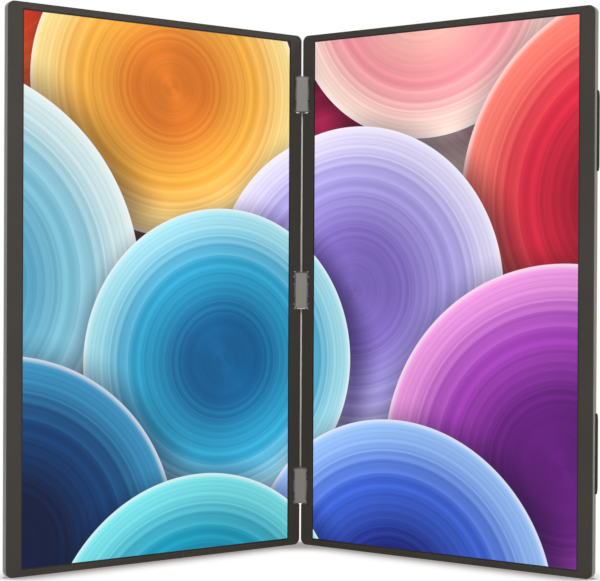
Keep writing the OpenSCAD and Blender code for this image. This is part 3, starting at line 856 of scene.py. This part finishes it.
@dataclass
class PanelFrame:
    """Turns a panel's own coordinates into the part's.

    Attributes:
        side: Which panel.
        pin: Place of its hinge pin in plan.
        turn: The panel's angle back from flat, in radians.
    """

    side: Side
    pin: Span
    turn: float

    @classmethod
    def of(cls, side: Side, joints: list[dict]) -> "PanelFrame":
        """Reads a panel's frame from its fold joint, which is closed at 90 degrees from flat."""
        fold = next(j for j in joints if j["name"] == f"{side.word}_fold")
        return cls(side, tuple(fold["pos_m"][:2]), math.radians(90 + fold["range_deg"][0]))

    def axes(self) -> np.ndarray:
        """The plan directions of u and n, one a row."""
        cos, sin = math.cos(self.turn), math.sin(self.turn)
        return np.array([[self.side.value * cos, -sin], [self.side.value * sin, cos]])

    def place(self, points: np.ndarray) -> np.ndarray:
        """Turns a panel's points into the part's.

        Args:
            points: Points as (u, n, z), the last axis of any shape.

        Returns:
            The same points as (x, y, z).
        """
        along, back = self.axes()
        plan = np.array(self.pin) + points[..., :1] * along + points[..., 1:2] * back
        return np.concatenate([plan, points[..., 2:]], -1)

    def box(self, points: np.ndarray) -> tuple[np.ndarray, np.ndarray]:
        """Finds the bounds of points in the panel's own coordinates.

        Args:
            points: Points as (x, y, z), one a row.

        Returns:
            Their lowest and highest (u, n, z).
        """
        plan = (points[:, :2] - np.array(self.pin)) @ self.axes().T
        local = np.concatenate([plan, points[:, 2:]], -1)
        return local.min(0), local.max(0)


@dataclass
class Refiner:
    """Dresses the part's own nodes, and copies machined ones with softened edges.

    Attributes:
        nodes: The part's nodes.
        materials: The materials, by finish.
        sharp: The angle in degrees from which an edge is rounded.
        weld: Points of a copy nearer than this are merged.
        flat: Faces of a copy that meet at less than this angle in degrees are joined.
    """

    nodes: dict[str, Object]
    materials: dict[str, Material]
    sharp: float = 50.0
    weld: float = 0.001 * MM
    flat: float = 0.4

    def refine(self, node: str, body: str, finish: str, bevel: float) -> Object:
        """Replaces a node with a welded copy whose sharp edges are rounded.

        Args:
            node: The node to copy.
            body: The body it rides on.
            finish: Its finish.
            bevel: Width of the rounding.

        Returns:
            The new piece.
        """
        mesh = self.nodes[node].data.copy()
        mesh.materials.clear()
        with editing(mesh) as work:
            bmesh.ops.remove_doubles(work, verts=work.verts, dist=self.weld)
            bmesh.ops.dissolve_limit(work, angle_limit=math.radians(self.flat),
                                     verts=work.verts, edges=work.edges)
        mesh.shade_smooth()
        mesh.set_sharp_from_angle(angle=math.radians(self.sharp))
        mesh.materials.append(self.materials[finish])
        obj = linked(f"{node}_finished", mesh)
        soften = obj.modifiers.new("softened_edges", "BEVEL")
        soften.width = bevel
        soften.segments = 2
        soften.limit_method = "ANGLE"
        soften.angle_limit = math.radians(self.sharp)
        soften.harden_normals = True
        soften.use_clamp_overlap = True
        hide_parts(node)
        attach(obj, body)
        return obj

    def dress(self, finishes: dict[str, str]) -> None:
        """Gives nodes that keep their own shape their finishes.

        Args:
            finishes: The nodes, each with its finish.
        """
        for node, finish in finishes.items():
            slots = self.nodes[node].data.materials
            slots.clear()
            slots.append(self.materials[finish])

    def points(self, node: str) -> np.ndarray:
        """Reads the vertices of a node.

        Args:
            node: The node.

        Returns:
            Their places as (x, y, z), one a row.
        """
        mesh = self.nodes[node].data
        points = np.empty(len(mesh.vertices) * 3, np.float32)
        mesh.vertices.foreach_get("co", points)
        return points.reshape(-1, 3).astype(float)


# Sub-assemblies


@dataclass
class Panel:
    """One display panel: cover, bezel, screen cell and the picture on it.

    Attributes:
        frame: The panel's frame.
        refiner: Dresses the panel's nodes.
        design: The picture that both screens show.
        picture_w: Width of the lit picture.
        picture_h: Height of the lit picture.
        hinge_border: From the hinge edge to the picture.
        film_lift: How far the lit film stands in front of the cell.
        film_points: Points of the film's grid across and up.
        middle_gap: From the middle of the whole design to the picture's inner edge.
        cover_edge: Rounding of the cover's edges.
        bezel_edge: Rounding of the bezel's edges.
    """

    frame: PanelFrame
    refiner: Refiner
    design: ScreenDesign
    picture_w: float = 193.59 * MM
    picture_h: float = 344.16 * MM
    hinge_border: float = 9.8 * MM
    film_lift: float = 0.04 * MM
    film_points: tuple[int, int] = (25, 41)
    middle_gap: float = 10.4 * MM
    cover_edge: float = 0.14 * MM
    bezel_edge: float = 0.12 * MM

    def build(self) -> list[Object]:
        """Builds and dresses the panel's pieces.

        Returns:
            The new pieces.
        """
        word, body = self.frame.side.word, f"{self.frame.side.word}_panel"
        made = [
            self.refiner.refine(f"{word}_rear_cover", body, "cover", self.cover_edge),
            self.refiner.refine(f"{word}_bezel", body, "bezel", self.bezel_edge),
            self.picture(word, body),
        ]
        finishes = {
            "screen_cell": "matrix",
            "backlight": "white",
            "driver_board": "board",
            "hinge_leaves": "hinge",
            "gear_pins": "dark_steel",
            "friction_washers": "dark_steel",
            "leaf_screws": "steel",
        }
        self.refiner.dress({f"{word}_{node}": finish for node, finish in finishes.items()})
        return made

    def picture(self, word: str, body: str) -> Object:
        """The lit film: a thin sheet over the cell, whose UV map spans both screens.

        A point is the film's corner plus its share of the width and of the height; the UV map is
        the distance from the middle of both screens, and the height, as shares of the design.

        Args:
            word: The side's name.
            body: The body it rides on.

        Returns:
            The film.
        """
        low, high = self.frame.box(self.refiner.points(f"{word}_bezel"))
        cell_low, _ = self.frame.box(self.refiner.points(f"{word}_screen_cell"))
        corner = np.array([low[0] + self.hinge_border, cell_low[1] - self.film_lift,
                           (low[2] + high[2]) / 2 - self.picture_h / 2])
        across, up = self.film_points
        u, z = np.meshgrid(np.linspace(0, 1, across), np.linspace(0, 1, up), indexing="ij")
        size = np.array([self.picture_w, 0, self.picture_h])
        front = (corner + np.stack([u, 0 * u, z], -1) * size).reshape(-1, 3)
        back = front + np.array([0, self.film_lift / 2, 0])
        count = len(front)
        index = np.arange(count).reshape(u.shape)
        quads = np.stack([index[:-1, :-1], index[1:, :-1], index[1:, 1:], index[:-1, 1:]], -1)
        quads = quads.reshape(-1, 4)
        edge = np.concatenate([index[:, 0], index[-1, 1:], index[-2::-1, -1], index[0, -2:0:-1]])
        walls = np.stack([edge, np.roll(edge, -1), np.roll(edge, -1) + count, edge + count], -1)
        faces = np.concatenate([quads, quads[:, ::-1] + count, walls[:, ::-1]])
        points = self.frame.place(np.concatenate([front, back]))
        mesh = bpy.data.meshes.new(f"{word}_picture")
        mesh.from_pydata(points.tolist(), [], faces.tolist())
        out = self.frame.side.value * (self.middle_gap + u * self.picture_w) / self.design.unit
        half = self.design.half_span
        flat = np.stack([(out + half) / (2 * half), z], -1).reshape(-1, 2)
        loops = np.empty(len(mesh.loops), np.int32)
        mesh.loops.foreach_get("vertex_index", loops)
        layer = mesh.uv_layers.new(name="picture")
        layer.data.foreach_set("uv", flat[loops % count].astype(np.float32).ravel())
        with editing(mesh) as work:
            bmesh.ops.recalc_face_normals(work, faces=work.faces)
        mesh.materials.append(self.refiner.materials["picture"])
        film = linked(mesh.name, mesh)
        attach(film, body)
        return film


@dataclass
class HingeSpine:
    """The three hinge blocks, their cover plates and gears, and the rail behind them.

    Attributes:
        refiner: Dresses the spine's nodes.
        block_edge: Rounding of the blocks' and the rail's edges.
        plate_depth: Thickness of a cover plate.
        plate_corner: Corner radius of a cover plate.
        plate_edge: Rounding of a cover plate's front edge.
        crown: How far the middle of a cover plate stands out.
        crown_end: Share of the way in that the crown's last ring lies.
        crown_rings: Rings from the rounded edge to that one.
        lip_depth: Thickness of the lip under the block.
        lip_edge: Rounding of the edges of lip and bar.
        seal_gap: Clearance between the strips of painted shade and the plates.
        seal_depth: Thickness of the strips of painted shade that lie on a block's face.
        seal_stand: How far the strips of painted shade stand out above and below a block.
        seal_edge: Rounding of the strips' edges.
        slit_half: Half the width that the strips leave open for the slit.
        bar_half: Half the width of the bar under the middle plate.
    """

    refiner: Refiner
    block_edge: float = 0.12 * MM
    plate_depth: float = 1.4 * MM
    plate_corner: float = 0.8 * MM
    plate_edge: float = 0.2 * MM
    crown: float = 0.1 * MM
    crown_end: float = 0.94
    crown_rings: int = 7
    lip_depth: float = 0.4 * MM
    lip_edge: float = 0.12 * MM
    seal_gap: float = 0.05 * MM
    seal_depth: float = 0.4 * MM
    seal_stand: float = 0.2 * MM
    seal_edge: float = 0.08 * MM
    slit_half: float = 0.9 * MM
    bar_half: float = 2.9 * MM

    def build(self) -> list[Object]:
        """Builds and dresses the spine's pieces.

        Returns:
            The new pieces.
        """
        refine = self.refiner.refine
        made = [refine(block.body, "spine", "hinge", self.block_edge) for block in Block]
        made += [refine("spine_rail", "spine", "rail", self.block_edge), self.cover_plates()]
        # Black strips paint the shade in the gaps about the plates.
        made += self.seals()
        self.refiner.dress({"spine_screws": "steel", "right_idler_gears": "brass",
                            "left_idler_gears": "brass"})
        return made

    def plate_half(self) -> float:
        """Half the height of a cover plate, from the top block's middle to the plates' top."""
        low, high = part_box(Block.TOP.body)
        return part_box("hinge_cover_plates")[1].z - (low.z + high.z) / 2

    def cover_plates(self) -> Object:
        """Three crowned plates: rounded outlines carried up the edge and over the front, with lips.

        The front edge follows a quarter circle; the face then rises to the middle by the crown
        times one less the square of the share of the way out. The lip lies flat under the block.

        Returns:
            The plates as one piece.
        """
        low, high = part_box("hinge_cover_plates")
        width, front, half = high.x - low.x, low.y, self.plate_half()
        inset, rise = quarter_round(self.plate_edge)
        face = np.linspace(self.plate_edge, width / 2 * self.crown_end, self.crown_rings)[1:]
        share = 1 - (face - self.plate_edge) / (width / 2 - self.plate_edge)
        insets = np.concatenate([[0.0], inset, face])
        side = self.plate_depth - self.plate_edge - self.crown
        crowned = side + self.plate_edge + self.crown * (1 - share**2)
        y = front + self.plate_depth - np.concatenate([[0.0], side + rise, crowned])
        outline = rounded_outline(width, 2 * half, self.plate_corner, insets)
        lip_half = width / 2 - self.plate_corner
        plates = []
        for block in Block:
            block_low, block_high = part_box(block.body)
            middle = (block_low.z + block_high.z) / 2
            rings = ring_stack(outline + np.array([0, middle]), y[:, None], 1)
            plates.append(ring_mesh(f"{block.value}_plate", rings))
            bottom = middle - half
            plates.append(soft_block(
                f"{block.value}_lip", (-lip_half, front + self.plate_edge, bottom),
                (lip_half, high.y, bottom + self.lip_depth), self.lip_edge))
        obj = joined("crowned_cover_plates", plates, self.refiner.materials["plate"])
        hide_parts("hinge_cover_plates")
        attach(obj, "spine")
        return obj

    def seals(self) -> list[Object]:
        """Black strips of painted shade about the plates, and a pale bar under the middle one.

        The strips above a plate lie on the block's face; those below fill its slot. Both leave
        the slit open, and stand out of the block into half of its clearance to the panels. Their
        black paints the shade of the gaps between the plates, the blocks and the panels.

        Returns:
            The black strips of painted shade as one piece, and the pale bar.
        """
        low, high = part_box("hinge_cover_plates")
        face, outer = low.y + self.plate_depth, high.x - self.seal_gap
        near_plate = self.plate_half() + self.seal_gap
        strips, bars = [], []
        for block in Block:
            block_low, block_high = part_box(block.body)
            middle = (block_low.z + block_high.z) / 2
            over = (middle + near_plate, block_high.z + self.seal_stand)
            under = (block_low.z - self.seal_stand, middle - near_plate)
            spans = [(self.slit_half, face - self.seal_depth, face, over)]
            # Under the middle and bottom plates, more black strips paint the shade of the slots.
            if block is Block.MIDDLE:
                spans.append((self.bar_half, face, block_high.y, under))
                bars.append(soft_block("middle_slot_bar", (-self.bar_half, face, block_low.z),
                                       (self.bar_half, block_high.y, under[1]), self.lip_edge))
            if block is Block.BOTTOM:
                spans.append((self.slit_half, face, high.y, under))
            for inner, near, far, (z_low, z_high) in spans:
                for side in Side:
                    x = sorted((side.value * inner, side.value * outer))
                    strips.append(soft_block(f"{block.value}_seal", (x[0], near, z_low),
                                             (x[1], far, z_high), self.seal_edge))
        # The black finish on these strips is painted shade.
        seals = joined("plate_seals", strips, self.refiner.materials["black"])
        bar = joined("slot_bar", bars, self.refiner.materials["rail"])
        for piece in (seals, bar):
            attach(piece, "spine")
        return [seals, bar]


@dataclass
class PanelFittings:
    """What only the right panel has: feet, kickstand, sockets, buttons, speakers and the board.

    Attributes:
        frame: The right panel's frame.
        refiner: Dresses the fittings' nodes.
        body: The body that all but the kickstand and the buttons ride on.
        stand_edge: Rounding of the kickstand's edges.
        button_edge: Rounding of the buttons' edges.
        foot_end: Length over which a foot's end slopes down.
        foot_round: Corner radius of a foot's section.
        foot_tip: Share of its height that a foot keeps at its tips.
        foot_rings: Sections in each sloped end of a foot, and between them.
        pair_width: Width of one socket, where a node holds two.
        contact: Length, corner radius and edge rounding of a contact.
        contact_sunk: How far a contact starts inside the tongue.
        contact_steps: Points in each of its corners and edges.
        tongue_half: Half the thickness of a socket's tongue.
        row_margin: What a row of contacts leaves of the socket's width, from middle to middle.
        mouth_depth: From a socket's mouth to the middle of its contacts.
    """

    frame: PanelFrame
    refiner: Refiner
    body: str = "right_panel"
    stand_edge: float = 0.15 * MM
    button_edge: float = 0.2 * MM
    foot_end: float = 4.5 * MM
    foot_round: float = 2.3 * MM
    foot_tip: float = 0.05
    foot_rings: tuple[int, int] = (9, 7)
    pair_width: float = 9.0 * MM
    contact: tuple[float, float, float] = (3.0 * MM, 0.08 * MM, 0.03 * MM)
    contact_sunk: float = 0.05 * MM
    contact_steps: int = 3
    tongue_half: float = 0.35 * MM
    row_margin: float = 3.4 * MM
    mouth_depth: float = 3.4 * MM

    def build(self) -> list[Object]:
        """Builds and dresses the right panel's fittings.

        Returns:
            The new pieces.
        """
        made = [
            self.feet(),
            self.refiner.refine("kickstand", "kickstand", "cover", self.stand_edge),
            self.contacts("usb_c_sockets", sockets=2, count=12, width=0.25 * MM),
            self.contacts("mini_hdmi_socket", sockets=1, count=10, width=0.3 * MM),
        ]
        for button in ("power_button", "menu_up_button", "menu_down_button"):
            made.append(self.refiner.refine(button, button, "black", self.button_edge))
        self.refiner.dress({
            "main_board": "board",
            "board_screws": "steel",
            "usb_c_sockets": "socket",
            "mini_hdmi_socket": "socket",
            "button_switches": "black",
            "upper_speaker": "black",
            "lower_speaker": "black",
            "kickstand_pins": "steel",
            "kickstand_friction_blocks": "steel",
        })
        return made

    def feet(self) -> Object:
        """Two rubber feet, each a rounded section carried along the rim.

        The part of the section behind the cover's back is scaled by a quarter ellipse near each
        end, so the foot slopes down to the back plate.

        Returns:
            The feet as one piece.
        """
        points = self.refiner.points("rubber_feet")
        low, high = self.frame.box(points)
        cover_back = self.frame.box(self.refiner.points("right_rear_cover"))[1][1]
        heights = np.sort(points[:, 2])
        length = heights[np.argmax(np.diff(heights))] - heights[0]
        section = rounded_outline(high[0] - low[0], high[1] - low[1], self.foot_round, [0.0])[0]
        section = section + (low + high)[:2] / 2
        sloped, level = self.foot_rings
        rise = np.linspace(0, self.foot_end, sloped)
        run = np.concatenate([rise, np.linspace(self.foot_end, length - self.foot_end, level)[1:-1],
                              length - rise[::-1]])
        near = np.minimum(run, length - run).clip(0, self.foot_end) / self.foot_end
        height = self.foot_tip + (1 - self.foot_tip) * np.sqrt(1 - (1 - near) ** 2)
        behind = np.maximum(section[:, 1] - cover_back, 0)
        n = np.minimum(section[:, 1], cover_back) + behind * height[:, None]
        plan = np.stack([np.broadcast_to(section[:, 0], n.shape), n], -1)
        feet = [ring_mesh(f"foot_{number}", self.frame.place(ring_stack(plan, (z0 + run)[:, None])))
                for number, z0 in enumerate((low[2], high[2] - length))]
        obj = joined("moulded_feet", feet, self.refiner.materials["rubber"])
        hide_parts("rubber_feet")
        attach(obj, self.body)
        return obj

    def contacts(self, node: str, sockets: int, count: int, width: float) -> Object:
        """Rows of gold contacts on both faces of each socket's tongue.

        Each contact is a small rounded bar; the bars of a row stand a fixed pitch apart.

        Args:
            node: The sockets' node.
            sockets: How many sockets the node holds.
            count: Contacts in a row.
            width: Width of one contact.

        Returns:
            The contacts as one piece.
        """
        low, high = self.frame.box(self.refiner.points(node))
        each = self.pair_width if sockets > 1 else high[0] - low[0]
        middle_n, mouth = (low[1] + high[1]) / 2, high[2] - self.mouth_depth
        pitch = (each - self.row_margin) / (count - 1)
        length, corner, edge = self.contact
        inset, rise = quarter_round(edge, self.contact_steps)
        outline = rounded_outline(width, length, corner, [0.0, *inset], self.contact_steps)
        depth = np.array([-self.contact_sunk, *rise])[:, None] + self.tongue_half
        bars = []
        for centre in np.linspace(low[0] + each / 2, high[0] - each / 2, sockets):
            for row in (-1, 1):
                for along in (np.arange(count) - (count - 1) / 2) * pitch:
                    plan = outline + np.array([centre + along, mouth])
                    rings = ring_stack(plan, middle_n + row * depth, 1)
                    bars.append(ring_mesh(f"{node}_bar", self.frame.place(rings)))
        obj = joined(f"{node}_contacts", bars, self.refiner.materials["gold"])
        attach(obj, self.body)
        return obj


# Studio


@dataclass
class Studio:
    """The floor, the lamps, the world and the camera.

    Attributes:
        lens_px: The camera's focal length in pixels of a picture picture_px wide.
        picture_px: That width.
        sensor_mm: Width of the camera's sensor.
        clip: Nearest and furthest distance that the camera shows.
        distance: From the camera to the plane of the hinge pins.
        offset: The camera's place right of the middle and above mid-height.
        axis_px: Where the camera's axis meets the picture, right of and below its middle.
        yaw: Degrees the camera is turned to the left.
        pitch: Degrees it looks up.
        roll: Degrees it is rolled.
        floor_half: Half the floor's width.
        floor_colour: The floor as the object's light sees it.
        floor_roughness: How dull the floor is.
        shadow_colour: The painted shadow's colour on the floor where the object stands on it.
        shadow_reach: How far the soft shadow reaches.
        shadow_run: Shares of open sky at which the shadow is full and at which it ends.
        shadow_least: The least share of white in the shadow.
        lamp_aim: The height that the lamps point at.
        sky_front: Brightness of the sky behind the object and behind the camera.
        sky_high: Brightness of the sky below and overhead.
        sky_right: Brightness of the sky on the left and on the right.
        front_run: The direction's Y at which each of sky_front is reached.
        high_run: The direction's Z at which each of sky_high is reached.
        right_run: The direction's X at which each of sky_right is reached.
    """

    lens_px: float = 1382.3
    picture_px: float = 600.0
    sensor_mm: float = 36.0
    clip: Span = (0.01, 20.0)
    distance: float = 965.8 * MM
    offset: Span = (-0.285 * MM, 3.284 * MM)
    axis_px: Span = (21.9, 1.57)
    yaw: float = -0.8735
    pitch: float = -0.2641
    roll: float = 0.2792
    floor_half: float = 6.0
    floor_colour: Colour = (0.8, 0.8, 0.8)
    floor_roughness: float = 0.9
    shadow_colour: Display = (108, 99, 96)
    shadow_reach: float = 32 * MM
    shadow_run: Span = (0.35, 0.97)
    shadow_least: float = 0.26
    lamp_aim: float = 170 * MM
    sky_front: Span = (0.4, 0.9)
    sky_high: Span = (0.45, 1.0)
    sky_right: Span = (0.6, 1.0)
    front_run: Span = (0.7, -0.9)
    high_run: Span = (-0.5, 0.8)
    right_run: Span = (-0.9, 0.7)

    def build(self, pin_y: float, middle_z: float) -> None:
        """Sets up everything round the object.

        Args:
            pin_y: Where the hinge pins stand, from front to back.
            middle_z: Mid-height of the panels.
        """
        bpy.context.scene.view_settings.view_transform = "Standard"
        self.camera(pin_y, middle_z)
        self.floor()
        self.lamps()
        self.world()

    def camera(self, pin_y: float, middle_z: float) -> None:
        """Places the camera in front of the hinge pins.

        Args:
            pin_y: Where the hinge pins stand, from front to back.
            middle_z: Mid-height of the panels.
        """
        data = bpy.data.cameras.new("camera")
        data.sensor_fit = "HORIZONTAL"
        data.sensor_width = self.sensor_mm
        data.lens = self.lens_px / self.picture_px * data.sensor_width
        data.shift_x = -self.axis_px[0] / self.picture_px
        data.shift_y = self.axis_px[1] / self.picture_px
        data.clip_start, data.clip_end = self.clip
        aim = Euler((math.radians(90 + self.pitch), 0.0, math.radians(self.yaw))).to_matrix()
        spin = Matrix.Rotation(math.radians(self.roll), 3, "Z")
        place = Vector((self.offset[0], pin_y - self.distance, middle_z + self.offset[1]))
        camera = linked("camera", data)
        camera.matrix_world = Matrix.Translation(place) @ (aim @ spin).to_4x4()
        bpy.context.scene.camera = camera

    def shown(self, t: Tree) -> Socket:
        """Adds a mask that is 1 for rays that show the backdrop, and 0 for those that it lights.

        Args:
            t: The tree of the floor or of the world.

        Returns:
            The mask: camera rays, and rays that metal mirrors or glass lets through.
        """
        path = t.add("ShaderNodeLightPath").outputs
        through = t.math("MAXIMUM", path["Is Glossy Ray"], path["Is Transmission Ray"])
        return t.math("MAXIMUM", path["Is Camera Ray"], through)

    def floor(self) -> None:
        """A wide pale floor that looks white, with a soft warm painted shadow under the object.

        What the eye sees is an emitted colour: white where the sky is open, turning to the
        shadow's colour where a piece of the object covers part of it, as ambient occlusion finds.
        So the shadow that the eye sees is painted.
        """
        half = self.floor_half
        corners = [(-half, -half, 0), (half, -half, 0), (half, half, 0), (-half, half, 0)]
        mesh = bpy.data.meshes.new("floor")
        mesh.from_pydata(corners, [], [(0, 1, 2, 3)])
        material, t, inputs = blank_material("studio_floor")
        t.fill(inputs, Roughness=self.floor_roughness, Specular_IOR_Level=0.0,
               Base_Color=self.floor_colour)
        # Painted shadow: ambient occlusion turns the floor's emitted white towards the shadow's
        # colour.
        cover = t.add("ShaderNodeAmbientOcclusion", {"Distance": self.shadow_reach}, samples=16)
        open_sky = t.math("MAXIMUM", t.ramp(cover.outputs["AO"], *self.shadow_run),
                          self.shadow_least)
        tone = t.mix(open_sky, srgb(self.shadow_colour), WHITE)
        glow = t.add("ShaderNodeEmission", {"Color": tone, "Strength": 1.0})
        lit = t.tree.nodes["Principled BSDF"]
        both = t.add("ShaderNodeMixShader", {0: self.shown(t), 1: lit.outputs[0],
                                             2: glow.outputs[0]})
        t.fill(t.tree.nodes["Material Output"].inputs, Surface=both.outputs[0])
        mesh.materials.append(material)
        linked("floor", mesh)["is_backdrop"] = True

    def lamps(self) -> None:
        """A broad soft key and a right fill in front, two small lamps for the slit, a back fill."""
        for name, place, size, power in (
            ("key", (0.1, -1.5, 1.6), 1.4, 12.0),
            ("right_fill", (1.7, -0.3, 1.2), 1.0, 8.5),
            ("high_front", (0.0, -1.05, 0.85), 0.12, 3.9),
            ("low_front", (0.0, -1.1, 0.08), 0.12, 3.0),
            ("back_fill", (0.1, 2.0, 1.0), 1.6, 17.0),
        ):
            data = bpy.data.lights.new(name, "AREA")
            data.shape = "SQUARE"
            data.size = size
            data.energy = power
            lamp = linked(name, data)
            lamp.location = place
            aim = Vector((0, 0, self.lamp_aim)) - Vector(place)
            lamp.rotation_euler = aim.to_track_quat("-Z", "Y").to_euler()

    def world(self) -> None:
        """A soft sky, brighter above, in front and on the right; the eye sees it pure white."""
        world = bpy.data.worlds.new("studio")
        world.use_nodes = True
        t = Tree(world.node_tree)
        generated = t.add("ShaderNodeTexCoord").outputs["Generated"]
        direction = t.add("ShaderNodeSeparateXYZ", {0: generated}).outputs
        front = t.ramp(direction["Y"], *self.front_run, *self.sky_front)
        high = t.ramp(direction["Z"], *self.high_run, *self.sky_high)
        right = t.ramp(direction["X"], *self.right_run, *self.sky_right)
        sky = t.math("MULTIPLY", t.math("MULTIPLY", front, high), right)
        strength = t.math("MAXIMUM", self.shown(t), sky)
        t.fill(world.node_tree.nodes["Background"].inputs, Color=WHITE, Strength=strength)
        bpy.context.scene.world = world


# Putting it together


def corners(box: tuple[Vector, Vector]) -> list[list[float]]:
    """A box's two corners as plain lists."""
    return [list(corner) for corner in box]


def main() -> None:
    """Loads the frame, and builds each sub-assembly and the studio."""
    logging.basicConfig(level=logging.INFO, format="%(message)s")
    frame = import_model()
    cad = corners(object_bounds())
    frames = {side: PanelFrame.of(side, frame["joints"]) for side in Side}
    low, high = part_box("right_bezel")
    Studio().build(frames[Side.RIGHT].pin[1], (low.z + high.z) / 2)
    effects, design = SharedEffects(), ScreenDesign()
    materials = {name: finish.make(effects) for name, finish in FINISHES.items()}
    materials["picture"] = design.make(effects)
    refiner = Refiner(frame["nodes"], materials)
    made = []
    for side in Side:
        made += Panel(frames[side], refiner, design).build()
    made += HingeSpine(refiner).build()
    made += PanelFittings(frames[Side.RIGHT], refiner).build()
    for piece in made:
        LOG.info("%s: %d faces", piece.name, len(piece.data.polygons))
    {"cad": cad, "visual": corners(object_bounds())}


if __name__ == "__main__":
    main()
